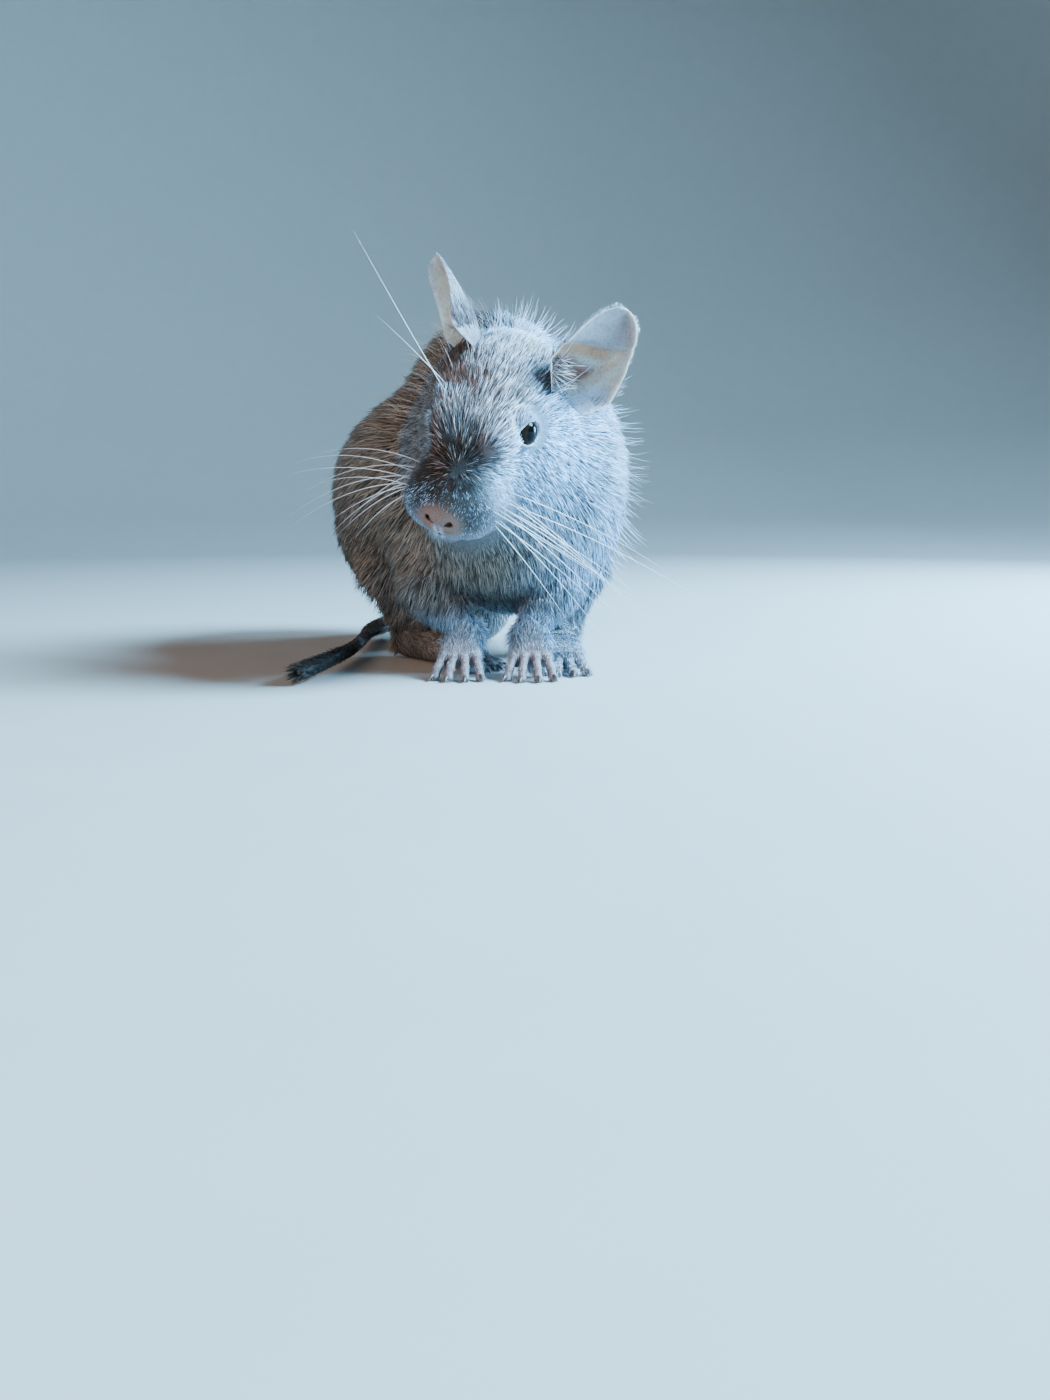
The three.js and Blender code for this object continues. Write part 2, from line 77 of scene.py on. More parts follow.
# %% [markdown]
# ## One set of numbers for the whole animal
# The masses of the body are ovals and tapering rods, given in millimetres in the animal's own frame:
# it faces -Y, its left side is +X, and the floor is at z = 0. The head has a frame of its own, turned
# as the head is. We keep the same numbers as the plain model, so the skin can't drift away from it.

# %% Places and sizes
MM = 0.001
HEAD_AT = np.array([-1.8, 0.6, 54.3])
HEAD_YAW = -43
HEAD_PITCH = 38
HEAD_ROLL = 23
BLEND = 2.0
FACE_BLEND = 1.7
PALM_BLEND = 0.6
EYE_RADIUS = 3.7
EYE_AT = np.array([8.4, -2.6, 6.3])

TRUNK = ([8.9, 50, 42.7], [38.1, 47, 31.5])
BACK = ([9.9, 39, 56.2], [24, 35, 27.5])
SHOULDERS = ([11.8, 21, 45], [28, 24, 33])
CHEST = ([5, 10, 34.5], [19, 14.5, 17])
RUMP = ([10, 68, 20.5], [17, 21, 22])

CRANIUM = ([0, 8, 1.2], [14.8, 15.5, 14])
CHEEK = ([7, 5.5, -5.5], [8.4, 14, 10])
BROW = ([5.6, -4, 7], [4.4, 9, 4])
SNOUT = ([0, -3, 0.2], [0, -18.5, -2.8], [9.9, 7.3])
WHISKER_PAD = ([4.8, -16, -4.6], [6.4, 9, 6])
NOSE_TIP = ([0, -24, -2.2], [3.2, 2.8, 3])
JAW = ([0, -15.5, -9.5], [0, 0, -10], [4, 8])
NECK_FROM = [0, 13, -2]
NECK_TO = [11, 27, 52]
NECK_RADII = [16, 28]
NAPE_FROM = [0, 12, 2]
NAPE_TO = [9.8, 34, 67.8]
NAPE_RADII = [14, 19.4]
NECK_FOLD = ([12, 8.5, 42], [16, 12.5, 14])

LEGS = {
    "foreleg_right": [[-9, 24, 31, 12], [-11, 16, 21, 7.5], [-5, 9.2, 11, 3.6]],
    "foreleg_left": [[20, 19, 31, 12], [17, 11, 21, 7.5], [9.4, 2.8, 11, 3.6]],
    "hindleg_right": [[-9, 64, 33, 18], [-15, 39, 24, 9.5], [-10.5, 43, 8, 5]],
    "hindleg_left": [[25.8, 58, 31, 19], [28.8, 31, 25, 11.5], [27.5, 34, 8, 6]],
}


def turned(yaw, pitch, roll):
    """Turn about Z, then X, then Y, in degrees, as a 3x3 matrix."""
    turns = [("Z", yaw), ("X", pitch), ("Y", roll)]
    made = Matrix.Identity(3)
    for axis, angle in turns:
        made = made @ Matrix.Rotation(math.radians(angle), 3, axis)
    return np.array(made)


HEAD_TURN = turned(HEAD_YAW, HEAD_PITCH, HEAD_ROLL)


def out_of_head(points):
    """Points of the head's own frame, placed in the animal's frame."""
    return HEAD_AT + np.asarray(points, float) @ HEAD_TURN.T


def into_head(points):
    """Points of the animal's frame, seen from the head's own frame."""
    return (points - HEAD_AT) @ HEAD_TURN


# The left eye is a whole ball in the plain model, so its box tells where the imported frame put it.
eye_low, eye_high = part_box("eye_left")
SHIFT = (np.array(eye_low) + np.array(eye_high)) / 2 / MM - out_of_head(EYE_AT)
progress(f"the packed frame is shifted by {np.round(SHIFT, 3).tolist()} mm")


def to_frame(points):
    """Millimetres of the animal's frame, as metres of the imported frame."""
    return (np.asarray(points, float) + SHIFT) * MM


# %% [markdown]
# ## The camera
# The picture was taken from a hand's breadth above the floor and very close, which makes the near
# cheek broad and the far ear small. A wide lens close to the animal gives the same look, so we place
# it by its distance and turn, and keep the whole frame of the picture.

# %% Camera
CAMERA_AT = [-67.1, -228.4, 38]
CAMERA_TURN = -18
CAMERA_TILT = -10.2
FOCAL_PIXELS = 1052
FRAME_PIXELS = (1050, 1400)
SENSOR = 36.0

lens = bpy.data.cameras.new("camera")
lens.sensor_fit = "VERTICAL"
lens.sensor_height = SENSOR
lens.sensor_width = SENSOR * FRAME_PIXELS[0] / FRAME_PIXELS[1]
lens.lens = SENSOR * FOCAL_PIXELS / FRAME_PIXELS[1]
lens.clip_start = 0.01
camera = bpy.data.objects.new("camera", lens)
camera.location = to_frame(CAMERA_AT)
camera.rotation_euler = (math.radians(90 + CAMERA_TILT), 0, math.radians(CAMERA_TURN))
scene.collection.objects.link(camera)
scene.camera = camera
progress(f"camera at {np.round(camera.location, 3).tolist()} m, lens {lens.lens:.1f} mm")

# %% [markdown]
# ## Distance fields
# A distance field tells how far a point is from a surface, negative inside. Fields can be blended,
# so muscles run together softly, and hollowed, for eyelids, nostrils and the mouth. Sculpting by
# hand would do it too, but fields keep every size a number that a reader can change.


# %% Fields for ovals, rods, blends and hollows
def oval(shape, side=1, grow=0.0):
    """The field of an oval, given as its middle and half sizes."""
    middle = np.array(shape[0], float) * [side, 1, 1]
    half = np.array(shape[1], float) + grow

    def field(p):
        q = p - middle
        near = np.linalg.norm(q / half, axis=-1)
        steep = np.linalg.norm(q / half**2, axis=-1)
        return near * (near - 1) / np.maximum(steep, 1e-6)

    return field


def rod(start, end, radii):
    """The field of a round rod whose radius changes evenly from start to end."""
    start = np.array(start, float)
    along = np.array(end, float) - start
    length = along @ along

    def field(p):
        q = p - start
        t = np.clip(q @ along / length, 0, 1)
        gap = np.linalg.norm(q - t[..., None] * along, axis=-1)
        return gap - radii[0] - t * (radii[1] - radii[0])

    return field


def blend(values, soft):
    """Joins the values of several fields, with a fillet about as wide as soft."""
    lowest = np.minimum.reduce(values)
    total = sum(np.exp((lowest - value) / soft) for value in values)
    return lowest - soft * np.log(total)


def hollowed(value, hollows, soft):
    """Takes hollows out of a field's values, with their edges rounded by soft."""
    return -blend([-value, *hollows], soft)


def smooth(value, low, high):
    """0 below low, 1 above high, and an even curve between."""
    t = np.clip((value - low) / (high - low), 0, 1)
    return t * t * (3 - 2 * t)


# %% [markdown]
# ## The face
# The head is ovals for skull, cheeks and brows, a rod for the snout and one for the jaw. The skin
# adds what the plain model leaves out: lids round each eye, comma-shaped nostrils, the cleft below
# the nose and the line of the mouth. Each is a short rod or a ring, blended in or hollowed out.

# %% Head, lids, nostrils and mouth
EYE_GAZES = {1: [0.92, -0.24, 0.31], -1: [-0.96, 0.06, 0.06]}
EYE_SLANT = -15
LID_OPENING = (3.4, 2.35)
LID_THICKNESS = 0.42
NOSTRIL = [[1.0, -26.7, -3.2], [2.2, -26.3, -2.6], [3.4, -24.9, -3.6]]
NOSTRIL_RADII = [0.42, 0.72, 0.4]
CLEFT = [[0, -27.2, -3.2], [0, -26.4, -5.0], [0, -24.9, -7.4]]
CLEFT_RADIUS = 0.3
MOUTH = [[0, -24.6, -7.9], [2.6, -22.8, -8.9], [5.6, -17.5, -10.3]]
MOUTH_RADIUS = 0.34
LIP = ([0, -20.5, -10.2], [3.0, 3.0, 2.4])
LIP_BLEND = 0.8
LID_BLEND = 0.4
LID_EDGE = 0.18
HOLLOW_EDGE = 0.15
FAR_OUT = 9.0


def eye_axes(side):
    """The eye's own axes in the head's frame: along the slit of the lids, up across it, and outwards."""
    gaze = np.array(EYE_GAZES[side])
    gaze = gaze / np.linalg.norm(gaze)
    level = np.cross([0, 0, 1], gaze)
    level = level / np.linalg.norm(level)
    up = np.cross(gaze, level)
    slant = math.radians(EYE_SLANT) * side
    return (
        level * math.cos(slant) + up * math.sin(slant),
        up * math.cos(slant) - level * math.sin(slant),
        gaze,
    )


def eye_place(h, side):
    """Points of the head's frame, along the three axes of one eye."""
    return (h - EYE_AT * [side, 1, 1]) @ np.array(eye_axes(side)).T


def lid_reach(e):
    """How far points along an eye's axes are from the middle of its opening, 1 at the edge."""
    return np.hypot(e[:, 0] / LID_OPENING[0], e[:, 1] / LID_OPENING[1])


def chain(points, radii):
    """Rods from point to point."""
    return [rod(a, b, [r, s]) for a, b, r, s in zip(points, points[1:], radii, radii[1:])]


def mirrored(points, side):
    """Points of the left side as they are (1), or carried over to the right side (-1)."""
    return [[x * side, y, z] for x, y, z in points]


# %% Masses and hollows of the head
head_masses = [
    oval(CRANIUM),
    oval(CHEEK),
    oval(CHEEK, -1),
    oval(BROW),
    oval(BROW, -1),
    rod(*SNOUT),
    oval(WHISKER_PAD),
    oval(WHISKER_PAD, -1),
    oval(NOSE_TIP),
    rod(*JAW),
]
fine_hollows = chain(CLEFT, [CLEFT_RADIUS] * 3)
for side in (1, -1):
    fine_hollows += chain(mirrored(NOSTRIL, side), NOSTRIL_RADII)
    fine_hollows += chain(mirrored(MOUTH, side), [MOUTH_RADIUS] * 3)
lip = oval(LIP)


def head_field(p):
    """The head without its lids, lips, nostrils and mouth."""
    h = into_head(p)
    return blend([field(h) for field in head_masses], FACE_BLEND)


def face_details(value, p):
    """Adds the lids, lips, nostrils and mouth to the skin's field."""
    h = into_head(p)
    near = np.flatnonzero((np.abs(value) < 3) & (h[:, 1] < 6) & (h[:, 2] > -16) & (np.abs(h[:, 0]) < 16))
    q = h[near]
    made = blend([value[near], lip(q)], LIP_BLEND)
    for side in (1, -1):
        e = eye_place(q, side)
        ball = np.linalg.norm(e, axis=1)
        lids = ball - EYE_RADIUS - LID_THICKNESS
        made = blend([made, np.where(e[:, 2] > -1, lids, FAR_OUT)], LID_BLEND)
        opening = np.maximum((lid_reach(e) - 1) * LID_OPENING[1], -e[:, 2])
        made = hollowed(made, [opening], LID_EDGE)
    made = hollowed(made, [field(q) for field in fine_hollows], HOLLOW_EDGE)
    value = value.copy()
    value[near] = made
    return value


# %% [markdown]
# ## The body under its coat
# The coat of a degu is about three millimetres deep on the back, and a tenth of that on the nose and
# the hands. The skin lies inside the plain model by that depth, so the hair tips, and not the skin,
# give the outline. The depth grows with the distance behind the nose, and fades towards the floor.

# %% Body field and depth of the coat
COAT_DEPTH_PLACES = [-25, -10, 6, 24, 45]
COAT_DEPTHS = [0.35, 0.8, 1.5, 2.6, 3.2]
COAT_FLOOR = ([0, 6, 18], [0.12, 0.4, 1.0])

body_masses = [oval(mass) for mass in (TRUNK, BACK, SHOULDERS, CHEST, RUMP, NECK_FOLD)]
body_masses.append(rod(out_of_head(NECK_FROM), NECK_TO, NECK_RADII))
body_masses.append(rod(out_of_head(NAPE_FROM), NAPE_TO, NAPE_RADII))
for joints in LEGS.values():
    body_masses += chain([j[:3] for j in joints], [j[3] for j in joints])


def coat_depth(p, from_head=None):
    """Short on the face by the distance behind the nose, and long away from the head."""
    if from_head is None:
        from_head = head_field(p)
    on_head = np.interp(into_head(p)[:, 1], COAT_DEPTH_PLACES, COAT_DEPTHS)
    depth = on_head + (COAT_DEPTHS[-1] - on_head) * smooth(from_head, 1.5, 9)
    chest = (1 - smooth(p[:, 1], 12, 32)) * (1 - smooth(p[:, 2], 26, 46))
    return depth * (1 - 0.35 * chest) * np.interp(p[:, 2], *COAT_FLOOR)


def skin_field(p):
    """The whole skin but the hands, feet, ears and tail."""
    head = head_field(p)
    body = blend([field(p) for field in body_masses] + [head], BLEND)
    return face_details(body + coat_depth(p, head), p)


# %% [markdown]
# ## From a field to a mesh
# Surface nets put one vertex in each small box of a grid that the surface crosses, join neighbours
# with four-sided faces, and slide the vertices onto the surface. A metaball object does much the
# same, but here the grid can be finer where the face and the hands are.


# %% Surface nets
def grid_lines(pieces):
    """Grid lines from pieces of (start, end, step)."""
    lines = [np.linspace(a, b, max(2, round((b - a) / step) + 1)) for a, b, step in pieces]
    return np.unique(np.concatenate(lines).round(6))


def gradient(field, points, nudge=0.02):
    """How fast a field grows along each axis at some points."""
    steps = np.eye(3) * nudge
    return np.stack([field(points + s) - field(points - s) for s in steps], axis=1) / (2 * nudge)


def surface_nets(field, lines, rounds=4, reach=0.5):
    """Vertices and four-sided faces of the surface where the field is zero."""
    xs, ys, zs = lines
    shape = (len(xs), len(ys), len(zs))
    values = np.empty(shape, np.float32)
    flat_yz = np.stack(np.meshgrid(ys, zs, indexing="ij"), axis=-1).reshape(-1, 2)
    for i, x in enumerate(xs):
        sheet = np.column_stack([np.full(len(flat_yz), x), flat_yz])
        values[i] = field(sheet).reshape(shape[1:])
    inside = values < 0
    corners = [(a, b, c) for a in (0, 1) for b in (0, 1) for c in (0, 1)]
    cells = tuple(n - 1 for n in shape)
    counts = sum(
        inside[a : a + cells[0], b : b + cells[1], c : c + cells[2]].astype(np.int8) for a, b, c in corners
    )
    mixed = np.argwhere((counts > 0) & (counts < 8))
    index = np.full(cells, -1, np.int32)
    index[tuple(mixed.T)] = np.arange(len(mixed))
    total = np.zeros((len(mixed), 3))
    crossings = np.zeros(len(mixed))
    low = np.column_stack([xs[mixed[:, 0]], ys[mixed[:, 1]], zs[mixed[:, 2]]])
    high = np.column_stack([xs[mixed[:, 0] + 1], ys[mixed[:, 1] + 1], zs[mixed[:, 2] + 1]])
    for corner in corners:
        for axis in range(3):
            if corner[axis]:
                continue
            other = list(corner)
            other[axis] = 1
            here = values[tuple((mixed + corner).T)]
            there = values[tuple((mixed + other).T)]
            crosses = (here < 0) != (there < 0)
            t = np.where(crosses, here / np.where(crosses, here - there, 1), 0)
            place = np.array(corner, float) + np.eye(3)[axis] * t[:, None]
            total += (low + place * (high - low)) * crosses[:, None]
            crossings += crosses
    points = total / crossings[:, None]
    faces = []
    for axis in range(3):
        u, v = (axis + 1) % 3, (axis + 2) % 3
        one = np.eye(3, dtype=int)
        ends = [slice(None)] * 3
        starts = [slice(None)] * 3
        ends[axis] = slice(1, None)
        starts[axis] = slice(0, -1)
        edges = np.argwhere(inside[tuple(starts)] != inside[tuple(ends)])
        edges = edges[(edges[:, u] > 0) & (edges[:, v] > 0)]
        edges = edges[(edges[:, u] < shape[u] - 1) & (edges[:, v] < shape[v] - 1)]
        ring = np.stack(
            [index[tuple((edges - m * one[u] - n * one[v]).T)] for m, n in ((0, 0), (1, 0), (1, 1), (0, 1))],
            axis=1,
        )
        outward = inside[tuple(edges.T)]
        ring[outward] = ring[outward][:, ::-1]
        faces.append(ring[:, ::-1])
    for _ in range(rounds):
        slope = gradient(field, points)
        step = field(points) / np.maximum((slope**2).sum(axis=1), 0.05)
        points -= slope * np.clip(step, -reach, reach)[:, None]
    return points, np.concatenate(faces)


def mesh_object(name, points, faces):
    """A new smooth object from millimetre points of the animal's frame and lists of corners."""
    mesh = bpy.data.meshes.new(name)
    mesh.from_pydata(to_frame(points).tolist(), [], [list(face) for face in faces])
    mesh.polygons.foreach_set("use_smooth", [True] * len(mesh.polygons))
    mesh.update()
    made = bpy.data.objects.new(name, mesh)
    scene.collection.objects.link(made)
    return made


# %% The skin's mesh
SKIN_LINES = [
    [(-34, -23, 1.3), (-23, -18, 0.6), (-18, -8, 0.42), (-8, 10, 0.6), (10, 26, 0.9), (26, 50, 1.4)],
    [(-20, -3, 0.45), (-3, 10, 0.6), (10, 26, 1.0), (26, 102, 1.5)],
    [(-2, 8, 1.2), (8, 26, 0.9), (26, 44, 0.45), (44, 66, 0.6), (66, 92, 1.2)],
]
SKIN_FLOOR = 0.12
skin_points, skin_faces = surface_nets(skin_field, [grid_lines(pieces) for pieces in SKIN_LINES])
skin_points[:, 2] = np.maximum(skin_points[:, 2], SKIN_FLOOR)
progress(f"skin has {len(skin_points)} vertices and {len(skin_faces)} faces")

# %% [markdown]
# ## Hands and feet
# A degu stands on four slim fingers and long narrow soles. Each paw is a few thin bones in a fan,
# then bent fingers that come down on their tips, with a pad under each. Blended fields join them
# into one skin, which runs up into the leg, so that the wrist has no edge.

# %% Paws
FINGER_RADIUS = 1.25
CLAW_LENGTH = 2.6
PAW_COAT = 0.22
PAW_FLOOR = 0.1
PAW_MARGIN = 7.5
FINGER_SWELL = [1.02, 0.86, 1.0, 0.84, 0.95, 0.86]
PAWS = {
    "forepaw_right": dict(
        heel=[-5, 9.4, 9], knuckles=[-6.8, 5.2, 5.2], radii=[3.6, 3.1], breadth=4.6, reach=7.4, fan=44
    ),
    "forepaw_left": dict(
        heel=[9.4, 2.8, 9], knuckles=[8.3, -0.4, 5.2], radii=[3.6, 3.1], breadth=4.6, reach=7.4, fan=44
    ),
    "hindfoot_right": dict(
        heel=[-10.5, 43, 4], knuckles=[-1, 19, 2.7], radii=[4.3, 3.3], breadth=4.9, reach=9, fan=30
    ),
    "hindfoot_left": dict(
        heel=[27.5, 33, 4], knuckles=[19, 6.5, 2.8], radii=[4.4, 3.5], breadth=5.1, reach=9, fan=30
    ),
}
RAYS = np.linspace(-1, 1, 4)
LEG_OF = dict(zip(PAWS, ("foreleg_right", "foreleg_left", "hindleg_right", "hindleg_left")))


def flat(vector):
    """The level part of a vector, as a unit vector."""
    made = np.array([vector[0], vector[1], 0.0])
    return made / np.linalg.norm(made)


def finger_route(root, direction, reach):
    """Six points along a finger that arches up from its knuckle and comes down on its tip."""
    tip = root + direction * reach
    tip[2] = FINGER_RADIUS * 0.62
    crest = root + direction * reach * 0.45
    crest[2] = root[2] * 0.86
    t = np.linspace(0, 1, 6)[:, None]
    control = 2 * crest - (root + tip) / 2
    return (1 - t) ** 2 * root + 2 * t * (1 - t) * control + t**2 * tip


def paw_bones(paw):
    """Rods of the palm or sole, the fingers' routes and the way that each finger points."""
    heel = np.array(paw["heel"], float)
    knuckles = np.array(paw["knuckles"], float)
    forward = flat(knuckles - heel)
    across = np.array([forward[1], -forward[0], 0])
    spread = paw["breadth"] - paw["radii"][1] * 0.55
    rods, routes, ways = [], [], []
    for ray in RAYS:
        start = heel + across * ray * 1.1
        end = knuckles + across * ray * spread
        rods.append(rod(start, end, [paw["radii"][0] * 0.8, paw["radii"][1] * 0.62]))
        angle = math.radians(-ray * paw["fan"] / 2)
        way = np.array(
            [
                forward[0] * math.cos(angle) - forward[1] * math.sin(angle),
                forward[0] * math.sin(angle) + forward[1] * math.cos(angle),
                0,
            ]
        )
        routes.append(finger_route(end - forward * 0.6, way, paw["reach"] * (1 - 0.16 * ray * ray)))
        ways.append(way)
    return rods, routes, ways


def paw_field(name):
    """The field of one paw with the shin above it, the fingers, and a pad under each end of a finger."""
    paw = PAWS[name]
    rods, routes, _ = paw_bones(paw)
    joints = LEGS[LEG_OF[name]]
    shin = rod(joints[1][:3], joints[2][:3], [joints[1][3] - 2.6, joints[2][3] - 0.5])
    radii = [FINGER_RADIUS * swell for swell in FINGER_SWELL]
    fingers = [part for route in routes for part in chain(route, radii)]
    pads = []
    for route in routes:
        pads.append(oval((route[5] - [0, 0, 0.15], [1.15, 1.15, 0.8])))
        pads.append(oval((route[0] + [0, 0, -0.35 * route[0][2]], [1.7, 1.7, 1.2])))

    def field(p):
        palm = blend([part(p) for part in rods], PALM_BLEND)
        digits = blend([part(p) for part in fingers], 0.12)
        soft = blend([part(p) for part in pads], 0.2)
        return blend([blend([palm, shin(p)], 0.8), digits, soft], 0.35) + PAW_COAT

    return field


def paw_lines(paw, step=0.42):
    """Grid lines round one paw, coarser above it."""
    heel, knuckles = np.array(paw["heel"]), np.array(paw["knuckles"])
    tip = knuckles + flat(knuckles - heel) * paw["reach"]
    ends = np.stack([heel, knuckles, tip])
    low, high = ends.min(axis=0) - PAW_MARGIN, ends.max(axis=0) + PAW_MARGIN
    level = [grid_lines([(low[i], high[i], step)]) for i in (0, 1)]
    return [*level, grid_lines([(-2.0, 13.0, step), (13.0, 20.0, 1.2)])]


# %% Paw meshes
paw_meshes = {}
for name, paw in PAWS.items():
    points, faces = surface_nets(paw_field(name), paw_lines(paw), rounds=3, reach=0.3)
    points[:, 2] = np.maximum(points[:, 2], PAW_FLOOR)
    paw_meshes[name] = (points, faces)
    progress(f"{name} has {len(faces)} faces")

# %% [markdown]
# ## Ears
# The ears are thin leaves of skin, almost bare, each cupped in its own way. The left one has two
# creases, one across its upper part and one that runs up from the base. A grid of points over the
# leaf is enough: one formula gives the outline, one the cup, and one the creases. The shell is closed
# round its rim, so light can go through it and it has a real thickness.

# %% Ears
EAR_LENGTH = 23
EAR_WIDTH = 19
EAR_THICKNESS = 0.62
EAR_FRONT = 1.14
EARS = {
    "ear_left": dict(
        root=[14.4, 13.2, 10],
        side=1,
        axis=[0.35, 0.58, 0.71],
        facing=[0.54, -0.68, 0.37],
        cup_rear=4.8,
        cup_front=4.6,
        fold=0.6,
        root_cup=1.0,
        bow=0.1,
        blunt=6.0,
        creased=1.0,
    ),
    "ear_right": dict(
        root=[-9.6, 15.3, 12.2],
        side=-1,
        axis=[-0.68, 0.41, 0.55],
        facing=[-0.86, -0.57, -0.27],
        cup_rear=8.6,
        cup_front=10.9,
        fold=1.6,
        root_cup=0.2,
        bow=1.6,
        blunt=3.0,
        creased=0.0,
    ),
}
EAR_ROWS = 56
EAR_COLUMNS = 72
RIM_ROUNDNESS = 0.35


def unit(vector):
    """The same way, as a unit vector."""
    return np.array(vector, float) / np.linalg.norm(vector)


def ear_axes(ear):
    """The ear's own axes in the head's frame: to its tip, out of its opening, and to its rear edge."""
    axis = unit(ear["axis"])
    facing = np.array(ear["facing"], float)
    opening = unit(facing - axis * (facing @ axis))
    across = np.cross(axis, opening) * ear["side"]
    return axis, opening, across


def crease_places(s, t):
    """How far a point of the leaf is above the upper crease, and behind the lower one."""
    return s - (0.595 + 0.19 * t), t - (0.95 * s - 0.06)


def ear_point(ear, s, t, back=0.0):
    """A point of the leaf: s from root to tip, t from the front edge to the rear one, back is 1 behind."""
    axis, opening, across = ear_axes(ear)
    leaf = np.minimum(1, 0.5 + 2.2 * s) * (1 - 0.5 * s * s)
    width = EAR_WIDTH / 2 * leaf * np.sqrt(1.004 - s ** ear["blunt"]) + 0.1
    width = width * (1 - 0.05 * np.exp(-(((s - 0.66) / 0.05) ** 2)) * smooth(t, 0.3, 0.9))
    rise = ear["root_cup"] + (1 - ear["root_cup"]) * smooth(s, 0, 0.4)
    depth = np.where(t < 0, ear["cup_front"] * (1 - s) ** ear["fold"], ear["cup_rear"] * (1 - 0.55 * s))
    curl = depth * rise * np.sqrt(1.004 - s**9) * t * t - ear["bow"] * 4 * s * (1 - s)
    above, behind = crease_places(s, t)
    flap = 0.9 * smooth(above, -0.03, 0.03) * (1 - smooth(above, 0.05, 0.4))
    fold = 1.1 * smooth(behind, -0.06, 0.1) * (1 - smooth(behind, 0.1, 0.7)) * smooth(s, 0.1, 0.25)
    sunk = -0.8 * np.exp(-(((s - 0.3) / 0.2) ** 2) - ((t - 0.0) / 0.4) ** 2)
    folds = ear["creased"] * (flap + fold * (1 - smooth(above, -0.12, 0)) + sunk)
    wave = 0.2 * np.sin(9 * s + 5 * t) * s * t * t
    lift = curl + folds + wave - back * EAR_THICKNESS * (1 - 0.3 * t * t)
    place = (
        np.array(ear["root"], float)
        + np.multiply.outer(EAR_LENGTH * (s - 0.17), axis)
        + np.multiply.outer(width * t * (1 - 0.12 * t * t) * np.where(t < 0, EAR_FRONT, 1), across)
        + np.multiply.outer(lift, opening)
    )
    return out_of_head(place)


# %% Ear meshes
ear_rows = np.linspace(0, 1, EAR_ROWS)
ear_turns = np.arange(EAR_COLUMNS) / EAR_COLUMNS * 2 * math.pi
ear_s, ear_angle = np.meshgrid(ear_rows, ear_turns, indexing="ij")


def ear_shell(ear):
    """Points and faces of one ear: each row goes once round the leaf, over its front and its back."""
    height = np.sin(ear_angle)
    back = 0.5 - 0.5 * np.sign(height) * np.abs(height) ** RIM_ROUNDNESS
    points = ear_point(ear, ear_s, -np.cos(ear_angle), back).reshape(-1, 3)
    faces = []
    for row in range(EAR_ROWS - 1):
        for column in range(EAR_COLUMNS):
            a = row * EAR_COLUMNS + column
            b = row * EAR_COLUMNS + (column + 1) % EAR_COLUMNS
            faces.append([a, b, b + EAR_COLUMNS, a + EAR_COLUMNS])
    last = (EAR_ROWS - 1) * EAR_COLUMNS
    faces.append(list(range(EAR_COLUMNS))[::-1])
    faces.append([last + column for column in range(EAR_COLUMNS)])
    if ear["side"] > 0:
        faces = [face[::-1] for face in faces]
    return points, faces


ear_meshes = {name: ear_shell(ear) for name, ear in EARS.items()}
progress(f"each ear has {len(ear_meshes['ear_left'][1])} faces")

# %% [markdown]
# ## Markings
# The coat is blue-grey with pale tips. Its right side, away from the lamps, is painted darker and browner as
# painted shade, and so is the right side of the head. It is nearly black on the bridge of the nose, silver
# round the eyes and on the cheeks, sandy at the crown, and creamy on the belly. The chest under the head is
# darker slate, partly its own colour and partly painted shade, and painted shade also darkens the gap between
# the forelegs, the fur under the ears and the low right hind leg. Skin and tufts ask one function for their
# colour and painted shade, so they can't disagree, and store the answer on their points. Its parts are
# painted in order, so a later one covers an earlier one.

# %% Colours by place
SILVER = np.array([0.36, 0.54, 0.73])
FOREHEAD = np.array([0.60, 0.48, 0.46])
# Darker, browner colour of the right side, as painted shade away from the lamps.
SHADED_FLANK = np.array([0.30, 0.235, 0.185])
SLATE = np.array([0.185, 0.178, 0.185])
SOOT = np.array([0.030, 0.020, 0.017])
SAND = np.array([0.46, 0.345, 0.26])
CREAM = np.array([0.58, 0.53, 0.49])
PINK = np.array([0.40, 0.27, 0.25])
LILAC = np.array([0.47, 0.41, 0.47])
NOSE_BROWN = np.array([0.22, 0.12, 0.092])


def spot(h, at, half, soft=0.5):
    """1 in the middle of an oval spot, fading to 0 outside it."""
    reach = np.linalg.norm((h - np.array(at, float)) / np.array(half, float), axis=1)
    return 1 - smooth(reach, 1 - soft, 1 + soft)


def folded(h):
    """Points of the head's frame with its right half laid on the left, for marks on both sides."""
    return np.column_stack([np.abs(h[:, 0]), h[:, 1:]])


